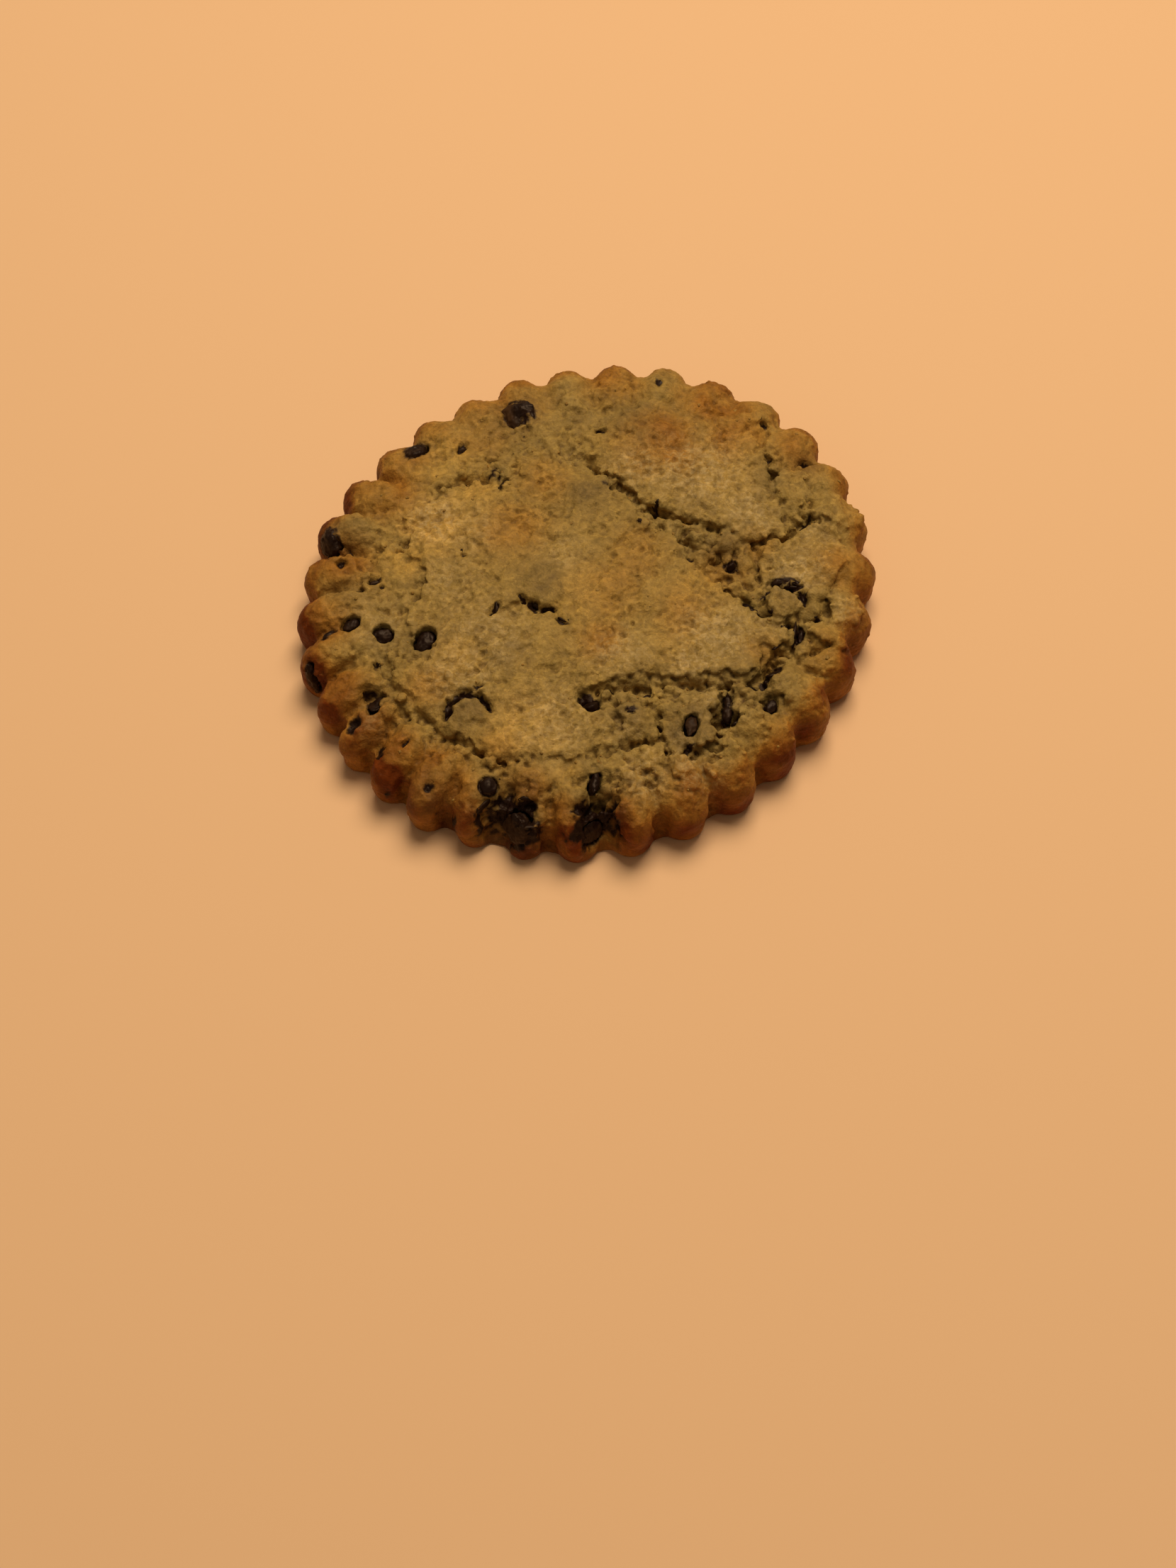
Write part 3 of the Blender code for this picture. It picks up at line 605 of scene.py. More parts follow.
def relief(points, settings):
    """Height to add at each point of the top, and how far inside a plate it is, with the way outward."""
    x, y = points[:, 0], points[:, 1]
    flat = points * (1, 1, 0)
    reach = np.hypot(x, y) / (settings.notch_radius / MM)
    rise = settings.crown / MM * (1 - np.clip(reach, 0, 1) ** CROWN_POWER)
    depth, outward, (ragged_x, ragged_y) = plate_edge(points)
    torn = smooth(wander(flat, 9.0, 20), -0.25, 0.15) * (1 - bumps(points, WORN_EDGES))
    step = torn * smooth(depth, -0.16, 0.16) + (1 - torn) * smooth(depth, -2.2, 1.6)
    on_plate = smooth(depth, -0.4, 0.4)
    rise += settings.plate_rise / MM * (0.8 * step + 0.2 * smooth(depth, 0.2, 2.2))
    grain = wander(points, 3.6, 3) + 0.7 * wander(points, 1.9, 4)
    rise += grain * (0.36 - 0.16 * on_plate)
    rise += sum(high * wander(flat, size, seed) for size, high, seed in UNDULATIONS) * on_plate
    # Clumps of crumb between the plates
    loose = crumbly(points, depth, settings)
    rise += 0.35 * loose
    for size, high, deep, crack, seed in CLUMPS:
        height, near_crack = clumps(points, size, crack, seed)
        rise += loose * (high * height - deep * near_crack)
    # Scaly steps where the skin of the crust has torn
    scale = wander(flat, 5.0, 21) + 0.5 * wander(flat, 1.5, 22) + 0.25 * wander(flat, 0.6, 23)
    steps = sum(way * smooth(scale, level, level + 0.04) for level, way in TORN_LEVELS)
    rise += TORN_STEP * on_plate * steps
    fine_x, fine_y = torn_place(points)
    broken = 0.65 + 0.8 * wander(flat, 3.0, 35)
    for deep, width, path in CRACKS:
        off = path_offsets(ragged_x, ragged_y, path)[0]
        rise -= 0.2 * deep * np.exp(-((off / width) ** 2))
        core = path_offsets(0.5 * (ragged_x + fine_x), 0.5 * (ragged_y + fine_y), path)[0]
        rise -= 1.2 * deep * broken * np.exp(-((core / 0.34) ** 2))
    for deep, width, path in FINE_CRACKS:
        off = path_offsets(fine_x, fine_y, path)[0]
        rise -= 1.2 * deep * broken * np.exp(-((off / width) ** 2))
    # Hairline cracks that wander over the whole top
    hairline = wander(flat, 5.2, 26) + 0.4 * wander(flat, 1.5, 27) + 0.16 * wander(flat, 0.6, 28)
    here = smooth(wander(flat, 7.0, 29), -0.25, 0.15) * (0.5 + loose)
    rise -= 0.7 * np.exp(-((hairline / 0.09) ** 2)) * here
    hairline = wander(flat, 2.6, 36) + 0.4 * wander(flat, 0.9, 37)
    rise -= 0.5 * np.exp(-((hairline / 0.13) ** 2)) * smooth(wander(flat, 3.5, 38), 0.0, 0.3)
    for cx, cy, radius in COVERED:
        rise += SWELLING * np.exp(-((np.hypot(x - cx, y - cy) / radius) ** 4))
    rise -= SLIVER_DEPTH * slots(fine_x, fine_y, points[:, 2], SLIVERS)
    rise -= HOLE_DEPTH * slots(fine_x, fine_y, points[:, 2], HOLES)
    rise -= CREASE_DEPTH * creases(points, settings.notch_radius / MM)
    return rise, depth, outward


def spread(points, weight, spacing, most, seed):
    """Numbers of points drawn by weight, none nearer to another one than the spacing."""
    draw = np.random.default_rng(seed)
    order = draw.choice(len(points), size=most, replace=False, p=weight / weight.sum())
    cells, kept = {}, []
    for number in order.tolist():
        place = points[number]
        home = tuple((place // spacing).astype(int))
        near = (
            other
            for dx in (-1, 0, 1) for dy in (-1, 0, 1) for dz in (-1, 0, 1)
            for other in cells.get((home[0] + dx, home[1] + dy, home[2] + dz), ())
        )
        if all(math.dist(place, points[other]) > spacing for other in near):
            cells.setdefault(home, []).append(number)
            kept.append(number)
    return np.array(kept)


def lumps(places, normals, radii, flatness, roundness, seed):
    """Points and faces of an uneven ball at each place, a little flat along the normal there."""
    form = bmesh.new()
    bmesh.ops.create_icosphere(form, subdivisions=2, radius=1)
    ball = np.array([v.co for v in form.verts])
    faces = np.array([[v.index for v in f.verts] for f in form.faces])
    form.free()
    count = len(places)
    draw = np.random.default_rng(seed)
    side = np.cross(normals, draw.normal(size=(count, 3)))
    side /= np.linalg.norm(side, axis=1)[:, None]
    other = np.cross(normals, side)
    stretch = draw.uniform(0.8, 1.25, (count, 2))
    own = draw.uniform(-50, 50, (count, 1, 3))
    shape = (ball[None] * 1.1 + own).reshape(-1, 3)
    uneven = 1 + roundness * (wander(shape, 1.0) + 0.6 * wander(shape, 0.45, 2))
    local = ball[None] * uneven.reshape(count, -1, 1) * radii[:, None, None]
    points = places[:, None] + (
        local[:, :, :1] * (side * stretch[:, :1])[:, None]
        + local[:, :, 1:2] * (other * stretch[:, 1:])[:, None]
        + local[:, :, 2:] * (normals * flatness)[:, None]
    )
    every = faces[None] + (np.arange(count) * len(ball))[:, None, None]
    return points.reshape(-1, 3), every.reshape(-1, 3)


def chip_trees():
    """For each chip node of the frame: its middle, its reach and a tree to find its surface, in mm."""
    trees = {}
    for name in CHIP_NODES:
        form = form_of(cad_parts[name].data)
        corners = np.array([v.co for v in form.verts])
        middle = (corners.min(axis=0) + corners.max(axis=0)) / 2
        reach = np.linalg.norm(corners - middle, axis=1).max()
        trees[name] = middle, reach, BVHTree.FromBMesh(form)
        form.free()
    return trees


def sink_pockets(points, normals, trees, gap=0.18):
    """Moves the dough that would cover a chip to just under it, so that every chip lies in a pocket with
    a ragged rim."""
    overlap = CHIP_COVER + COVER_UNEVEN * wander(points, 0.9, 51)
    for name, (middle, reach, tree) in trees.items():
        away = np.linalg.norm(points - middle, axis=1)
        near = np.nonzero(away < reach + 2.5)[0]
        cover = overlap + (OPEN_COVER if name in OPEN_CHIPS else 0)
        facing = (normals[near] / (1 + away[near, None])).sum(axis=0)
        up = Vector(facing / np.linalg.norm(facing))
        side = up.orthogonal().normalized()
        across = up.cross(side)
        offsets = [Vector((0, 0, 0))]
        offsets += [0.15 * (math.cos(a) * side + math.sin(a) * across) for a in np.arange(6) * math.pi / 3]
        for number in near.tolist():
            place = Vector(points[number])
            depths = []
            for offset in offsets:
                hit = tree.ray_cast(place + offset - 12 * up, up, 24)
                if hit[0] is not None:
                    depths.append((hit[0] - place).dot(up))
            if depths and min(depths) > -cover[number]:
                points[number] = place + (min(depths) - gap) * up


def creases(points, notch_radius):
    """How deep in the crease between two flutes each point is, from 0 to 1."""
    x, y = torn_place(points, 47)
    reach, angle = np.hypot(x, y), np.arctan2(y, x)
    inward = outline_radius(angle, notch_radius) - reach
    deepest = np.zeros(len(points))
    shown = 0.3 + 0.7 * smooth(np.cos(angle - CREASED_SIDE), -0.3, 0.5)
    for number in range(FLUTES):
        uneven = noise.noise(Vector((number * 2.3, 0, 5.2)))
        length = CREASE_LENGTH * (1 + 0.8 * uneven)
        aside = reach * np.sin(angle - notch_angle(number)) / (CREASE_WIDTH * (1 + 0.5 * uneven))
        ahead = np.cos(angle - notch_angle(number)) > 0
        here = np.exp(-(aside ** 2)) * (1 - smooth(inward, 0.25 * length, length)) * ahead
        deepest = np.maximum(deepest, here * (1 + 0.6 * uneven))
    return deepest * shown


def crumbly(points, depth, settings):
    """How crumbly the dough is at each point, from 0 on smooth crust to 1 between the plates."""
    angle = np.arctan2(points[:, 1], points[:, 0])
    edge = outline_radius(angle, settings.notch_radius / MM) - np.hypot(points[:, 0], points[:, 1])
    loose = np.maximum(0.22, bumps(points, CRUMB_ZONES))
    for _, width, path in CRACKS:
        off = path_offsets(points[:, 0], points[:, 1], path)[0]
        loose = np.maximum(loose, 0.9 * np.exp(-((off / (width + 1.0)) ** 2)))
    loose *= (1 - 0.92 * smooth(depth, -0.2, 0.8)) * (1 + 0.5 * wander(points, 4.5, 41))
    flute = 1 - smooth(edge, 1.5, 6.0)
    return np.clip(loose * (1 - 0.5 * flute), 0, 1)


def add_crumb(points, faces, normals, depth, trees, settings):
    """Joins lumps of crumb of three sizes to the dough, thick between the plates and thin elsewhere."""
    crumb = crumbly(points, depth, settings)
    torn = np.exp(-((depth + 0.3) / 0.7) ** 2)
    top = smooth(points[:, 2], 1.0, 3.0)
    # Radius and spacing of the lumps, where they lie, how many at most and how far they are sunk
    kinds = (
        (1.3, 2.6, crumb ** 1.5, 6000, 0.68),
        (0.75, 1.4, 0.02 + 0.9 * crumb + 0.4 * torn, 16000, 0.6),
        (0.42, 0.85, 0.1 + 0.8 * crumb + 0.7 * torn, 26000, 0.52),
    )
    every_point, every_face, seen = [points], faces, len(points)
    for kind, (radius, spacing, weight, most, sunk) in enumerate(kinds):
        picked = spread(points, weight * top + 1e-9, spacing, most, 50 + kind)
        draw = np.random.default_rng(60 + kind)
        keep = draw.uniform(size=len(picked)) < np.clip(weight[picked] * 1.3, 0, 1)
        picked = picked[keep]
        for middle, reach, tree in trees.values():
            clear = np.array([
                np.linalg.norm(p - middle) > reach + 2 or tree.find_nearest(Vector(p))[3] > radius * 0.4
                for p in points[picked]
            ])
            picked = picked[clear]
        radii = radius * np.random.default_rng(70 + kind).uniform(0.65, 1.25, len(picked))
        places = points[picked] - normals[picked] * (radii * sunk)[:, None]
        made, made_faces = lumps(places, normals[picked], radii, 0.85, 0.3, 80 + kind)
        made[:, 2] = np.maximum(made[:, 2], 0)
        every_point.append(made)
        every_face += [tuple(f) for f in (made_faces + seen).tolist()]
        seen += len(made)
    joined = bpy.data.meshes.new("crumbly_dough")
    joined.from_pydata((np.concatenate(every_point) * MM).tolist(), [], every_face)
    return joined


def dough_piece(settings, trees):
    """The baked dough: drum and flutes made one, with plates, cracks, pockets, crumb and grain."""
    form = bmesh.new()
    add_drum(form, settings.notch_radius / MM)
    add_flutes(form, settings.notch_radius / MM, settings.flute_bulge / MM)
    bmesh.ops.scale(form, verts=form.verts, vec=(MM, MM, MM))
    rough = bpy.data.meshes.new("rough_dough")
    form.to_mesh(rough)
    form.free()
    dough = object_from(rough, "cookie_dough")
    apply_modifier(dough, "REMESH", mode="VOXEL", voxel_size=FIRST_DETAIL * MM)
    apply_modifier(dough, "SMOOTH", factor=0.5, iterations=9)

    points, normals = points_of(dough.data), normals_of(dough.data)
    faces_up = smooth(normals[:, 2], 0.05, 0.75)
    rise, depth, outward = relief(points, settings)
    points[:, 2] += rise * faces_up
    lip = settings.lip / MM * depth / np.sqrt(depth ** 2 + 0.01) * np.exp(-((depth / 0.8) ** 2)) * faces_up
    points[:, :2] += outward * lip[:, None]
    side = (1 - faces_up) * smooth(points[:, 2], 0, 2.0)
    push = (0.35 * wander(points, 3.0, 5) - 0.9 * creases(points, settings.notch_radius / MM)) * side
    for cx, cy, cz, radius, deep in HOLLOWS:
        off = np.linalg.norm(points - (cx, cy, cz), axis=1) / radius + 0.35 * wander(points, 1.9, 48)
        push -= (deep + 0.9 * wander(points, 1.4, 49)) * np.exp(-(np.maximum(off, 0) ** 4))
    points += normals * push[:, None]
    set_points(dough.data, points)

    normals = normals_of(dough.data)
    crumb_depth = np.where(faces_up > 0.3, depth, -2.0)
    sink_pockets(points, normals, trees)
    set_points(dough.data, points)
    old = dough.data
    faces = [tuple(face.vertices) for face in old.polygons]
    dough.data = add_crumb(points, faces, normals, crumb_depth, trees, settings)
    bpy.data.meshes.remove(old)
    apply_modifier(dough, "REMESH", mode="VOXEL", voxel_size=settings.detail)
    apply_modifier(dough, "SMOOTH", factor=0.5, iterations=1)

    points, normals = points_of(dough.data), normals_of(dough.data)
    grain = settings.grain / MM
    lively = smooth(points[:, 2], 0.2, 1.5)
    crumb = crumbly(points, plate_edge(points)[0], settings)
    rough = 0.45 + 0.55 * smooth(crumb, 0.1, 0.5)
    rough *= 0.5 + 0.5 * smooth(wander(points, 4.0, 96), -0.2, 0.3)
    push = rough * (0.22 * billow(points, 2.0, 94) + 0.18 * wander(points, 1.2, 95))
    push += grain * (0.6 + 0.4 * rough) * (wander(points, 0.9, 91) + wander(points, 0.55, 92))
    points += normals * ((push - 0.08) * lively)[:, None]
    points[:, 2] -= CREST_PRESSED * np.maximum(points[:, 2] - CREST, 0)
    set_points(dough.data, points)
    share = settings.triangles / (2 * len(dough.data.polygons))  # a face of the remesh has four sides
    if share < 1:
        apply_modifier(dough, "DECIMATE", ratio=share)
    dough.data.shade_smooth()
    return dough


# Zones of colour: place, radius and strength
BROWN_PATCHES = (
    (-34, 19, 7, 0.7), (-41, 4, 6, 0.8), (-43, -8, 6, 0.9), (-40, -21, 6, 0.9), (-36, -29, 7, 1.0),
    (-27, 34, 6, 0.8), (-12, 43, 6, 0.8), (-32, 25, 6, 0.6), (4, 42, 6, 0.6), (22, 38, 7, 0.8),
    (36, 27, 6, 0.5), (-8, 19, 5, 0.3), (12, 27, 7, 0.75), (24, 29, 6, 0.5), (-14, 38, 7, 0.5),
    (-18, 30, 6, 0.3), (41, 2, 5, 0.4), (40, -16, 6, 0.5), (33, -29, 6, 0.6), (17, -42, 7, 1.0),
    (6, -43.5, 5, 1.0), (-20, 36, 5, 0.7), (-24, -38, 7, 1.0), (3, -3, 6, 0.3), (14, -6, 5, 0.3),
    (22, 2, 5, 0.3), (-31, -31, 5, 0.7), (-10, -38, 4, 0.6), (-5, -42, 3, 0.8), (-12, 9, 6, 0.35),
    (8, 4, 5, 0.35), (27, 6.5, 3, 0.25), (27.5, -13.5, 3, 0.3), (-25, -21, 4, 0.3), (-14, -32, 3, 0.5),
    (2, -12, 4, 0.4),
)
PALE_PATCHES = (
    (18, 20, 8, 0.7), (-20, 9, 5, 0.5), (-25, 11, 5, 0.9), (-4, 4, 4, 0.4), (20, -11, 6, 0.8),
    (33, 1, 5, 0.8), (5, -15, 5, 0.6), (-16, -12, 7, 0.6), (-22, -1, 5, 0.4), (-6, -27, 7, 0.6),
    (8, 21, 5, 0.6), (26, 13, 5, 0.7), (-20, -18, 6, 0.6), (20, -24, 4, 0.6), (28, -9, 3, 0.6),
    (17, -17, 5, 0.8), (37, 8, 4, 0.5), (40, -6, 3, 0.5), (8, -36, 4, 1.0), (16, -35, 4, 0.6),
    (14, -31, 3, 0.6), (5, -29, 4, 0.5), (-33, -8, 6, 0.4), (-33, -26, 3, 0.3),
)
GOLDEN_PATCHES = (
    (-25, 10, 6, 1.0), (-19, 17, 4, 0.6), (-29, 4, 4, 0.6), (-10, -28, 6, 0.6), (-21, -15, 4, 0.4),
    (18, -4, 5, 0.45), (0, -4, 5, 0.3), (-35, -1, 4, 0.4), (-34, -20, 3, 0.5), (-24, 24, 5, 0.4),
    (8, -37, 4, 0.5), (22, 20, 5, 0.3), (38, 4, 4, 0.3), (14, -12, 4, 0.3), (42, -8, 4, 0.4),
    (-3, -37, 3, 0.4), (30, 30, 5, 0.3),
)
STAINS = (
    (-12.3, 32.8, 4.6, 0.6), (0, 15.7, 3.6, 0.7), (8, 31.1, 5.0, 0.5), (-1.8, 32.5, 2.4, 0.4),
    (-7.1, -1.6, 4.0, 0.75), (-13, -15.1, 2.6, 0.4), (15.5, -28, 4.4, 0.9), (6, -26, 3.4, 0.6),
    (-18.6, -25.1, 4.2, 0.6), (30.7, -3.9, 3.8, 0.4), (-39.6, 8.9, 4.4, 0.6), (28, -22, 3.6, 0.6),
    (-26.1, -11.9, 3.4, 0.7), (-32.3, -10.9, 2.6, 0.5), (21.5, 5.5, 4.0, 0.6), (17, 6.5, 3.0, 0.4),
    (-36.5, -1.5, 4.2, 0.5), (-12, -42, 6.5, 0.8), (1, -40, 5.0, 0.7), (36, 23.9, 2.6, 0.6),
    (-24, -38, 4.0, 0.5), (-33.4, -21.5, 3.4, 0.6), (0.7, -37, 3.2, 0.5), (24, -19, 3.5, 0.4),
    (29.4, 20, 3.2, 0.4),
)


def paint(dough, settings, trees):
    """Writes where the dough is crust, browned, floury, golden, stained and chocolate, where painted shade
    darkens its crevices and dips, and where a painted highlight lightens its raised grains, for its material
    to read.
    """
    points, normals = points_of(dough.data), normals_of(dough.data)
    # Crevices and dips are where a smoothed copy of the dough stands above it
    shell = dough.copy()
    shell.data = dough.data.copy()
    bpy.context.scene.collection.objects.link(shell)
    apply_modifier(shell, "SMOOTH", factor=0.5, iterations=5)
    crevice = ((points_of(shell.data) - points) * normals).sum(axis=1)
    apply_modifier(shell, "SMOOTH", factor=0.5, iterations=15)
    dip = ((points_of(shell.data) - points) * normals).sum(axis=1)
    bpy.data.objects.remove(shell)
    depth = plate_edge(points)[0]
    crumb = crumbly(points, depth, settings)
    angle = np.arctan2(points[:, 1], points[:, 0])
    edge = np.hypot(points[:, 0], points[:, 1]) - outline_radius(angle, settings.notch_radius / MM)
    tips = smooth(edge, -4.2, 1.2) * (1 - 0.3 * smooth(normals[:, 2], 0.6, 0.95))
    tips *= 0.85 - 0.27 * np.cos(angle - 0.9) + 0.3 * wander(points, 5.0, 47)
    open_crumb = smooth(crumb, 0.1, 0.6)
    stain = 0.9 * bumps(points, STAINS)
    fine_x, fine_y = torn_place(points)
    smear = 0.22 * wander(points, 0.7, 45)
    chocolate = smooth(slots(fine_x, fine_y, points[:, 2], SLIVERS + HOLES, 0.05) + smear, 0.4, 0.6)
    for middle, reach, tree in trees.values():
        near = np.nonzero(np.linalg.norm(points - middle, axis=1) < reach + 1.5)[0]
        gaps = np.array([tree.find_nearest(Vector(points[n]))[3] for n in near.tolist()])
        stain[near] = np.maximum(stain[near], 0.75 * np.exp(-gaps / 0.45))
        # Painted chocolate and painted shade: the dough close to a chip is dark, as melted chocolate and as
        # the shade of the gap round the chip
        chocolate[near] = np.maximum(chocolate[near], 1 - smooth(gaps - smear[near], 0.1, 0.3))
    for cx, cy, cz, radius, _ in HOLLOWS:
        gap = np.linalg.norm(points - (cx, cy, cz), axis=1) / radius + 0.35 * wander(points, 1.9, 48)
        chocolate = np.maximum(chocolate, 1 - smooth(gap + 0.25 * wander(points, 0.8, 46), 0.88, 1.0))
    # Painted shade: crevices and dips are darkened, more so where the crumb lies open
    dip_shade = (0.45 + 0.35 * open_crumb) * smooth(dip, 0.0, 0.24)
    values = {
        "chocolate": chocolate,
        "crust": 1 - crumb,
        "browned": np.clip(np.maximum(0.85 * bumps(points, BROWN_PATCHES), 1.15 * tips), 0, 1),
        "floury": bumps(points, PALE_PATCHES) * (1 - 0.6 * crumb),
        "stained": stain,
        "golden": bumps(points, GOLDEN_PATCHES) * (0.75 + 0.5 * wander(points, 3.0, 44)),
        "hollow_shade": np.maximum(dip_shade, 0.8 * smooth(crevice, 0.06, 0.2)),
        "raised_highlight": smooth(-crevice, 0.02, 0.12),
    }
    for name, value in values.items():
        set_layer(dough.data, name, value)


def node(tree, kind, links=None, **settings):
    """Adds a node with its settings; each link or value goes to the input of that name or number."""
    made = tree.nodes.new("ShaderNode" + kind)
    for key, value in settings.items():
        setattr(made, key, value)
    for key, value in (links or {}).items():
        if isinstance(value, bpy.types.NodeSocket):
            tree.links.new(value, made.inputs[key])
        else:
            made.inputs[key].default_value = value
    return made


# What paint() writes for the dough's material to read
LAYERS = ("crust", "browned", "floury", "golden", "stained", "hollow_shade", "raised_highlight", "chocolate")

# The same layers on a loose crumb, where they aren't 0
CRUMB_LAYERS = {"crust": 0.5, "browned": 0.25, "floury": 0.1, "hollow_shade": 0.1}

# Noise patterns of the dough: size in mm, detail, roughness and distortion
PATTERNS = {
    "sand": (2.0, 8.0, 0.78, 0.0),   # sugar and flour grains of 0.2 to 0.4 mm, in clusters of up to 2 mm
    "grit": (0.7, 2.0, 0.5, 0.0),
    "flake": (1.0, 4.0, 0.5, 0.8),
    "fold": (1.5, 4.0, 0.5, 0.4),
    "clump": (2.6, 2.0, 0.5, 0.0),
    "skin": (3.6, 7.0, 0.62, 0.5),
    "sallow": (6.0, 3.0, 0.5, 0.0),  # dough bakes unevenly: yellower in places a few millimetres across
    "patch": (9.0, 2.0, 0.5, 0.0),
}

# Tints laid over each other: layer, the pattern that breaks it up, the pattern's range, its strength at the
# two ends of that range, where the tint starts and where it is full, and its setting. The heat gives first
# a golden toast, then brown where it was strongest.
TINTS = (
    ("golden", "flake", 0.35, 0.6, 0.45, 1.0, 0.0, 1.0, "golden"),
    ("browned", "patch", 0.35, 0.65, 0.5, 1.2, 0.0, 0.5, "toasted"),
    ("browned", "patch", 0.35, 0.65, 0.5, 1.2, 0.35, 1.0, "browned"),
    ("floury", "flake", 0.42, 0.62, 0.1, 1.0, 0.0, 1.0, "floury"),
    ("stained", "clump", 0.3, 0.7, 0.35, 0.85, 0.0, 1.0, "stained"),
)

# Sockets of a Mix node that mixes colours
FACTOR, FIRST, SECOND, MIXED = 0, 6, 7, 2


def per_metre(size):
    """Texture scale that gives features of this size in mm."""
    return 1 / (size * MM)


def new_material(name):
    """An empty material with its output, and the object coordinates that its patterns use."""
    made = bpy.data.materials.new(name)
    made.use_nodes = True
    tree = made.node_tree
    tree.nodes.clear()
    out = node(tree, "OutputMaterial")
    place = node(tree, "TexCoord").outputs["Object"]
    return made, tree, out, place


def baked_shortbread(settings):
    """Baked short dough, pressed in a cutter and dried in the oven: matt, sandy and a little translucent,
    golden where the crust is smooth, yellower in the crumb and browner on what stood nearest the heat."""
    made, tree, out, place = new_material("baked_shortbread")
    layer = {name: node(tree, "Attribute", attribute_name=name).outputs["Fac"] for name in LAYERS}
    pattern = {
        name: node(tree, "TexNoise", {
            "Vector": place, "Scale": per_metre(size), "Detail": detail, "Roughness": roughness,
            "Distortion": distortion,
        }).outputs["Fac"]
        for name, (size, detail, roughness, distortion) in PATTERNS.items()
    }

    crusty = node(tree, "MapRange", {0: pattern["clump"], 1: 0.3, 2: 0.7, 3: -0.25, 4: 0.25}).outputs[0]
    crusty = node(tree, "Math", {0: layer["crust"], 1: crusty}, operation="ADD", use_clamp=True).outputs[0]
    colour = node(
        tree, "Mix", {FACTOR: crusty, FIRST: (*settings.crumb, 1), SECOND: (*settings.crust, 1)},
        data_type="RGBA",
    ).outputs[MIXED]
    sallow = node(tree, "MapRange", {0: pattern["sallow"], 1: 0.42, 2: 0.62, 3: 0.0, 4: 0.6}).outputs[0]
    colour = node(
        tree, "Mix", {FACTOR: sallow, FIRST: colour, SECOND: (*settings.sallow, 1)}, data_type="RGBA"
    ).outputs[MIXED]
    for name, breaks, low, high, least, most, start, full, tint in TINTS:
        share = node(tree, "MapRange", {0: pattern[breaks], 1: low, 2: high, 3: least, 4: most}).outputs[0]
        share = node(
            tree, "Math", {0: layer[name], 1: share}, operation="MULTIPLY", use_clamp=True
        ).outputs[0]
        share = node(tree, "MapRange", {0: share, 1: start, 2: full}).outputs[0]
        colour = node(
            tree, "Mix", {FACTOR: share, FIRST: colour, SECOND: (*getattr(settings, tint), 1)},
            data_type="RGBA",
        ).outputs[MIXED]

    fold = node(tree, "Math", {0: pattern["fold"], 1: 0.5}, operation="SUBTRACT").outputs[0]
    fold = node(tree, "Math", {0: fold}, operation="ABSOLUTE").outputs[0]
    # Painted shade and glints: the thin lines are darkened in the crumb, as the shade of thin gaps, and paler
    # on the crust, as glints on torn fibres
    line_shade_and_glint = node(tree, "MapRange", {0: layer["crust"], 1: 0.4, 2: 1.0, 3: 0.7, 4: 1.16}).outputs[0]
    crease = node(tree, "MapRange", {0: fold, 1: 0.0, 2: 0.025, 3: line_shade_and_glint, 4: 1.0}).outputs[0]
    grains = node(tree, "MapRange", {0: pattern["sand"], 1: 0.36, 2: 0.64, 3: 0.72, 4: 1.22}).outputs[0]
    grains = node(tree, "Math", {0: grains, 1: crease}, operation="MULTIPLY").outputs[0]
    # Painted light and shadow: skins of crust lie over each other, each one painted pale along its torn edge
    # as if lit, with a painted thin shadow below it
    skin = node(tree, "Math", {0: pattern["skin"], 1: 6.0}, operation="MULTIPLY").outputs[0]
    skin = node(tree, "Math", {0: skin}, operation="FRACT").outputs[0]
    lit = node(tree, "MapRange", {0: skin, 1: 0.1, 2: 1.0, 3: 1.2, 4: 0.9}).outputs[0]
    under = node(tree, "MapRange", {0: skin, 1: 0.0, 2: 0.12, 3: 0.66, 4: 1.0}).outputs[0]
    skin_light_and_shadow = node(tree, "Math", {0: lit, 1: under}, operation="MULTIPLY").outputs[0]
    skin_light_and_shadow = node(tree, "Mix", {0: layer["crust"], 2: 1.0, 3: skin_light_and_shadow}).outputs[0]
    grains = node(tree, "Math", {0: grains, 1: skin_light_and_shadow}, operation="MULTIPLY").outputs[0]
    # Painted highlight: grains that stand up are made paler, as if they catch the light
    peak_highlight = node(tree, "MapRange", {0: layer["raised_highlight"], 3: 1.0, 4: 1.25}).outputs[0]
    shade = node(tree, "Math", {0: grains, 1: peak_highlight}, operation="MULTIPLY").outputs[0]
    colour = node(
        tree, "Mix", {FACTOR: 1.0, FIRST: colour, SECOND: shade}, data_type="RGBA", blend_type="MULTIPLY"
    ).outputs[MIXED]
    # Little light comes out of the gaps, and that is warm from one wall of dough to the other
    for name, tint in (("hollow_shade", settings.gap), ("chocolate", settings.chocolate)):
        colour = node(
            tree, "Mix", {FACTOR: layer[name], FIRST: colour, SECOND: (*tint, 1)}, data_type="RGBA"
        ).outputs[MIXED]
    folds = node(tree, "Bump", {"Height": fold, "Strength": 0.35, "Distance": 0.4 * MM}).outputs[0]
    bump = node(
        tree, "Bump", {"Height": pattern["grit"], "Strength": 0.8, "Distance": 0.3 * MM, "Normal": folds}
    ).outputs[0]
    rough = node(tree, "MapRange", {0: layer["chocolate"], 3: 0.6, 4: 0.5}).outputs[0]
    shader = node(tree, "BsdfPrincipled", {
        "Base Color": colour, "Normal": bump, "Roughness": rough, "IOR": 1.45, "Specular IOR Level": 0.25,
        "Specular Tint": (*linear(SHEEN), 1),
        "Subsurface Weight": 0.1, "Subsurface Radius": (1.0, 0.6, 0.25), "Subsurface Scale": 0.8 * MM,
    })
    tree.links.new(shader.outputs[0], out.inputs[0])
    return made


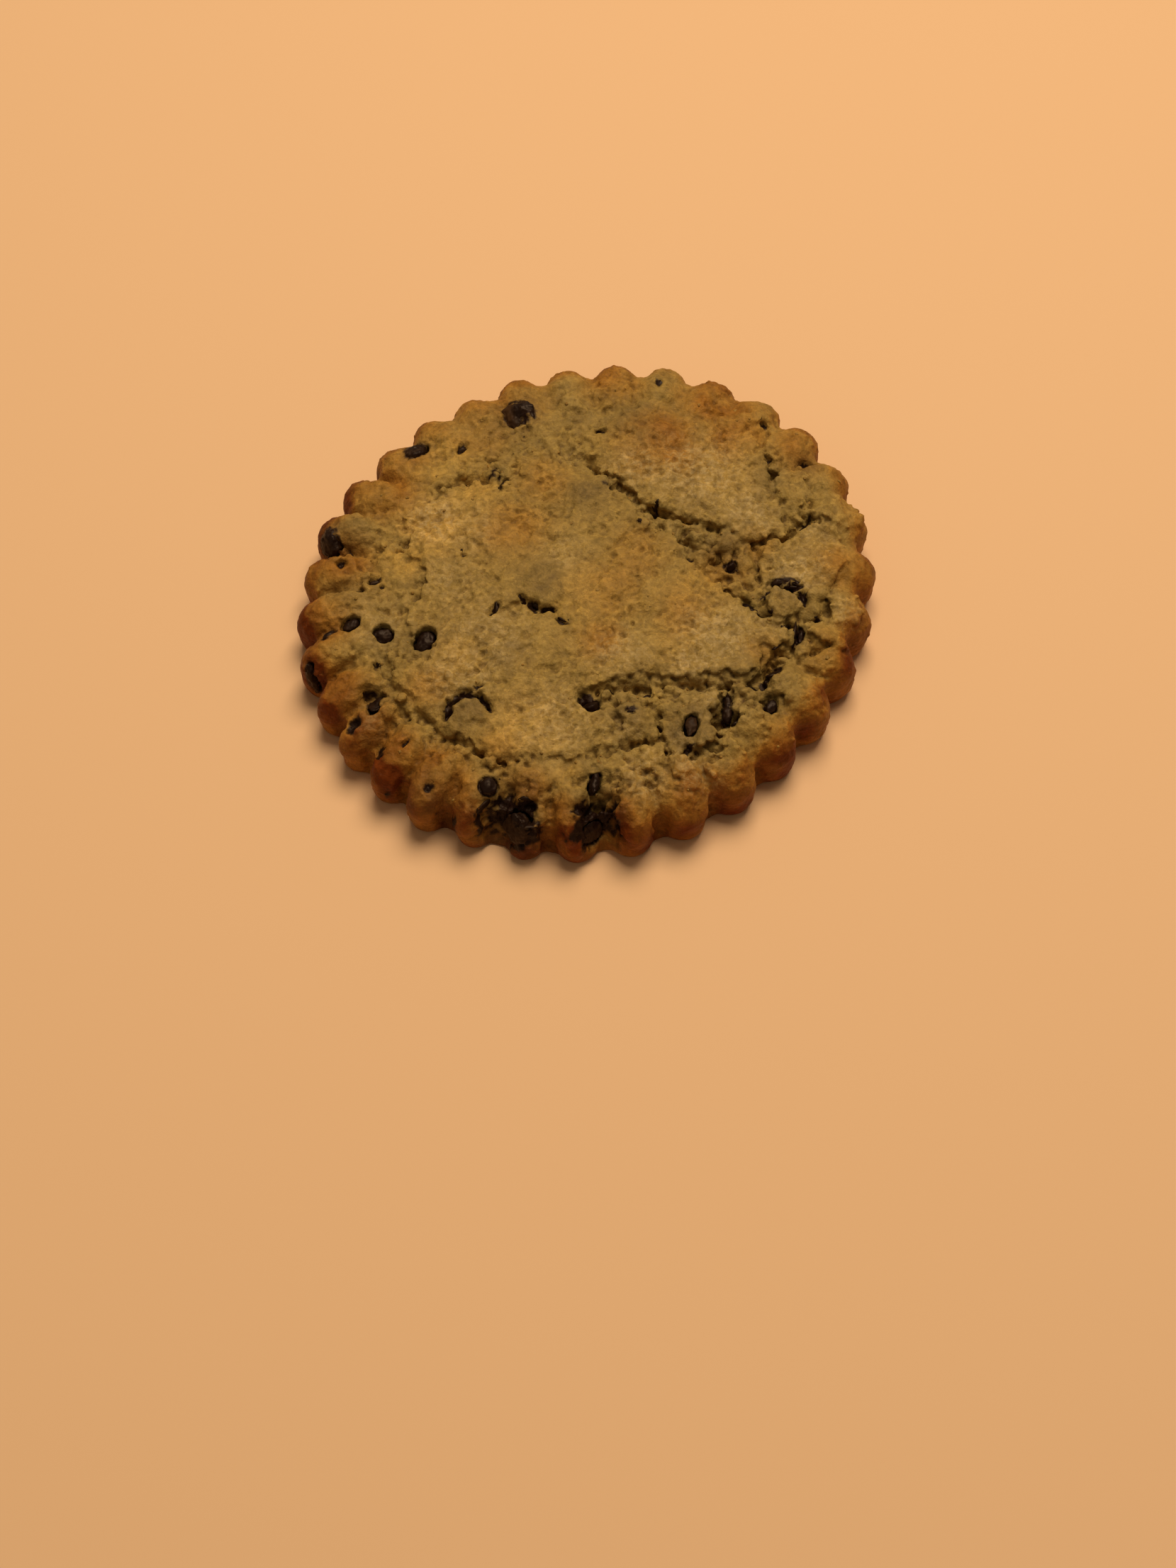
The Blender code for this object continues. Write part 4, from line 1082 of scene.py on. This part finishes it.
def dark_chocolate(settings, name="dark_chocolate", dusting=0.35):
    """Dark chocolate that melted in the oven and set again: nearly black brown, soft sheen on its
    wrinkles, dull where a film of dough or bloom covers it."""
    made, tree, out, place = new_material(name)
    film = node(tree, "TexNoise", {"Vector": place, "Scale": per_metre(1.8), "Detail": 4.0}).outputs["Fac"]
    film = node(tree, "MapRange", {0: film, 1: 0.5, 2: 0.72, 3: 0.0, 4: dusting}).outputs[0]
    smeared = node(tree, "Attribute", attribute_name="smeared").outputs["Fac"]
    film = node(tree, "Math", {0: film, 1: smeared}, operation="MAXIMUM").outputs[0]
    colour = node(
        tree, "Mix", {FACTOR: film, FIRST: (*settings.chocolate, 1), SECOND: (*settings.dusted, 1)},
        data_type="RGBA",
    ).outputs[MIXED]
    dull = node(tree, "MapRange", {0: film, 3: 0.44, 4: 0.85}).outputs[0]
    wrinkle = node(tree, "TexNoise", {"Vector": place, "Scale": per_metre(0.8), "Detail": 3.0}).outputs["Fac"]
    bump = node(tree, "Bump", {"Height": wrinkle, "Strength": 0.5, "Distance": 0.1 * MM}).outputs[0]
    shader = node(tree, "BsdfPrincipled", {
        "Base Color": colour, "Roughness": dull, "Normal": bump, "IOR": 1.46, "Specular IOR Level": 0.3,
        "Specular Tint": (*linear(SHEEN), 1),
    })
    tree.links.new(shader.outputs[0], out.inputs[0])
    return made


def piece_from(points, faces, name):
    """An object of these points, in mm, and faces."""
    mesh = bpy.data.meshes.new(name)
    mesh.from_pydata((points * MM).tolist(), [], faces.tolist())
    mesh.shade_smooth()
    return object_from(mesh, name)


def seat(tree, place, sunk):
    """The nearest spot of a surface, a little under it, with the normal there."""
    spot, normal, _, _ = tree.find_nearest(Vector(place))
    return spot - normal * sunk, normal


def sliver_piece(settings, tree, points, weight):
    """Slivers and specks of chocolate, sunk in the surface of the dough as one piece."""
    draw = np.random.default_rng(7)
    every_point, every_face, seen = [], [], 0
    rows = [row for row in SLIVERS if row[2] > 7]
    specks = spread(points, weight, 2.2, settings.specks, 8)
    for x, y, z in points[specks]:
        size = draw.uniform(0.22, 0.5)
        rows.append((x, y, z, size * draw.uniform(1, 1.7), size, draw.uniform(0, 180)))
    for number, (x, y, z, length, width, heading) in enumerate(rows):
        spot, normal = seat(tree, (x, y, z), SLIVER_SUNK)
        along = Vector((math.cos(math.radians(heading)), math.sin(math.radians(heading)), 0))
        along = (along - along.dot(normal) * normal).normalized()
        across = normal.cross(along)
        made, faces = lumps(np.zeros((1, 3)), np.array([(0, 0, 1.0)]), np.ones(1), 1.0, 0.7, 200 + number)
        made = (
            np.outer(made[:, 0], along) * length / 2 + np.outer(made[:, 1], across) * width / 2
            + np.outer(made[:, 2], normal) * min(width / 2, 0.35)
        )
        every_point.append(made + np.array(spot))
        every_face.append(faces + seen)
        seen += len(made)
    return piece_from(np.concatenate(every_point), np.concatenate(every_face), "chocolate_slivers")


def crumb_piece(settings, points, normals, weight):
    """Loose crumbs of dough lying on the cookie, joined as one piece."""
    picked = spread(points, weight, 0.5, settings.count, 9)
    draw = np.random.default_rng(10)
    radii = settings.radius / MM * draw.uniform(0.5, 1.6, len(picked))
    places = points[picked] - normals[picked] * (radii * 0.15)[:, None]
    made, faces = lumps(places, normals[picked], radii, 0.65, 0.6, 11)
    return piece_from(made, faces, "loose_crumbs")


def chip_piece(name, settings, number):
    """One chip, built on the shape of its solid, with the wrinkles of melted chocolate."""
    chip = object_from(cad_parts[name].data.copy(), name.replace("chip", "chocolate_chip"))
    chip.data.materials.clear()
    apply_modifier(chip, "REMESH", mode="VOXEL", voxel_size=settings.detail)
    apply_modifier(chip, "SMOOTH", factor=0.5, iterations=6)
    points, normals = points_of(chip.data), normals_of(chip.data)
    size = np.ptp(points, axis=0).max()
    wrinkle = settings.wrinkle / MM * min(size / 3.5, 1.5)
    push = wrinkle * (
        1.3 * wander(points, 2.2, 100 + number) + 0.8 * wander(points, 1.0, 120 + number)
        + 0.4 * wander(points, 0.45, 130 + number)
    )
    if name != SMEARED_CHIP:
        push -= settings.sunk / MM
    set_points(chip.data, points + normals * push[:, None])
    low = points[:, 2].max() - points[:, 2] + 0.4 * wander(points, 0.8, 160 + number)
    smear = 0.4 * smooth(low, 0.9, 1.6)
    if name == SMEARED_CHIP:
        across = points[:, 0] + 0.6 * wander(points, 1.2, 161)
        smear = np.maximum(smear, 0.9 - 0.9 * smooth(across, -13.4, -12.0))
    if name == DUSTY_CHIP:
        smear = 0.4 + 0.5 * wander(points, 1.0, 162)
    set_layer(chip.data, "smeared", smear)
    chip.data.shade_smooth()
    return chip


class BakeDough(bpy.types.Operator):
    """Builds the baked dough with its crust, crumb and pockets for the chips."""

    bl_idname = "cookie.bake_dough"
    bl_label = "Bake dough"

    def execute(self, context):
        settings = context.scene.cookie_dough
        trees = chip_trees()
        dough = dough_piece(settings, trees)
        paint(dough, settings, trees)
        dough.data.materials.append(baked_shortbread(settings))
        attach(dough, "root")
        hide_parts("dough")
        return {"FINISHED"}


class SetChips(bpy.types.Operator):
    """Sets the chocolate chips into their pockets."""

    bl_idname = "cookie.set_chips"
    bl_label = "Set chips"

    def execute(self, context):
        settings = context.scene.cookie_chips
        chocolate = dark_chocolate(settings)
        for number, name in enumerate(CHIP_NODES):
            chip = chip_piece(name, settings, number)
            chip.data.materials.append(chocolate)
            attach(chip, "root")
            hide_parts(name)
        return {"FINISHED"}


class AddSlivers(bpy.types.Operator):
    """Adds the slivers and specks of chocolate in the dough's surface."""

    bl_idname = "cookie.add_slivers"
    bl_label = "Add slivers"

    def execute(self, context):
        dough = bpy.data.objects["cookie_dough"].data
        points = points_of(dough)
        weight = 0.01 + smooth(points[:, 2], 8, 9.5) * smooth(normals_of(dough)[:, 2], 0.6, 0.9)
        form = form_of(dough)
        slivers = sliver_piece(context.scene.cookie_crumbs, BVHTree.FromBMesh(form), points, weight)
        form.free()
        slivers.data.materials.append(dark_chocolate(context.scene.cookie_chips, "chocolate_sliver", 0.6))
        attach(slivers, "root")
        return {"FINISHED"}


class ScatterCrumbs(bpy.types.Operator):
    """Scatters loose crumbs over the broken parts of the crust."""

    bl_idname = "cookie.scatter_crumbs"
    bl_label = "Scatter crumbs"

    def execute(self, context):
        dough = bpy.data.objects["cookie_dough"].data
        points, normals = points_of(dough), normals_of(dough)
        loose = (0.06 + 1 - layer_of(dough, "crust")) * (0.2 + layer_of(dough, "hollow_shade"))
        loose *= (1 - layer_of(dough, "chocolate")) * (1 - layer_of(dough, "stained"))
        weight = loose * smooth(normals[:, 2], 0.4, 0.8) * smooth(points[:, 2], 6, 9) + 1e-9
        crumbs = crumb_piece(context.scene.cookie_crumbs, points, normals, weight)
        for name in LAYERS:
            set_layer(crumbs.data, name, np.full(len(crumbs.data.vertices), CRUMB_LAYERS.get(name, 0)))
        crumbs.data.materials.append(bpy.data.materials["baked_shortbread"])
        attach(crumbs, "root")
        return {"FINISHED"}


class SetStage(bpy.types.Operator):
    """Makes the plain pale floor, the soft light and the camera."""

    bl_idname = "cookie.set_stage"
    bl_label = "Set stage"

    def execute(self, context):
        settings = context.scene.cookie_stage
        plane = bpy.data.meshes.new("floor")
        corners = [(x * FLOOR_HALF, y * FLOOR_HALF, 0) for x, y in ((-1, -1), (1, -1), (1, 1), (-1, 1))]
        plane.from_pydata(corners, [], [(0, 1, 2, 3)])
        floor = object_from(plane, "floor")
        made, tree, out, _ = new_material("matt_paper")
        shader = node(tree, "BsdfPrincipled", {"Base Color": (*settings.floor, 1), "Roughness": 0.9})
        tree.links.new(shader.outputs[0], out.inputs[0])
        plane.materials.append(made)

        aim = Vector(AIM) * MM
        back = Vector((0, -math.cos(settings.elevation), math.sin(settings.elevation)))
        lens = bpy.data.cameras.new("camera")
        lens.sensor_fit = "VERTICAL"
        lens.sensor_height = 36
        lens.lens = settings.lens
        lens.clip_start = 0.01
        camera = object_from(lens, "camera")
        camera.location = aim + back * settings.distance
        camera.rotation_euler = (math.pi / 2 - settings.elevation, 0, 0)
        context.scene.camera = camera

        for name, place, size, power in (
            ("key", KEY_PLACE, KEY_SIZE, settings.key_power),
            ("fill", FILL_PLACE, FILL_SIZE, settings.fill_power),
        ):
            light = bpy.data.lights.new(name, "AREA")
            light.size = size
            light.energy = power
            light.color = WARM_LIGHT
            lamp = object_from(light, name)
            lamp.location = place
            lamp.rotation_euler = (-Vector(place)).to_track_quat("-Z", "Y").to_euler()
        world = bpy.data.worlds.new("studio")
        world.use_nodes = True
        background = world.node_tree.nodes["Background"]
        background.inputs["Color"].default_value = (*ROOM_COLOUR, 1)
        background.inputs["Strength"].default_value = ROOM_STRENGTH
        context.scene.world = world
        context.scene.view_settings.view_transform = "Standard"
        return {"FINISHED"}


class CookiePanel(bpy.types.Panel):
    """Lists the steps that build the cookie, with their settings."""

    bl_idname = "COOKIE_PT_steps"
    bl_label = "Chocolate chip cookie"
    bl_space_type = "VIEW_3D"
    bl_region_type = "UI"
    bl_category = "Cookie"

    def draw(self, context):
        for step in STEPS:
            self.layout.operator(step.bl_idname)
        for name, group in GROUPS.items():
            box = self.layout.box()
            for setting in group.__annotations__:
                box.prop(getattr(context.scene, name), setting)


STEPS = (SetStage, BakeDough, SetChips, AddSlivers, ScatterCrumbs)
GROUPS = {
    "cookie_stage": StageSettings, "cookie_dough": DoughSettings, "cookie_chips": ChipSettings,
    "cookie_crumbs": CrumbSettings,
}


def register():
    for made in (*GROUPS.values(), *STEPS, CookiePanel):
        bpy.utils.register_class(made)
    for name, group in GROUPS.items():
        setattr(bpy.types.Scene, name, PointerProperty(type=group))


def unregister():
    for name in GROUPS:
        delattr(bpy.types.Scene, name)
    for made in reversed((*GROUPS.values(), *STEPS, CookiePanel)):
        bpy.utils.unregister_class(made)


def main():
    register()
    bpy.ops.cookie.set_stage()
    bpy.ops.cookie.bake_dough()
    bpy.ops.cookie.set_chips()
    bpy.ops.cookie.add_slivers()
    bpy.ops.cookie.scatter_crumbs()


if __name__ == "__main__":
    main()
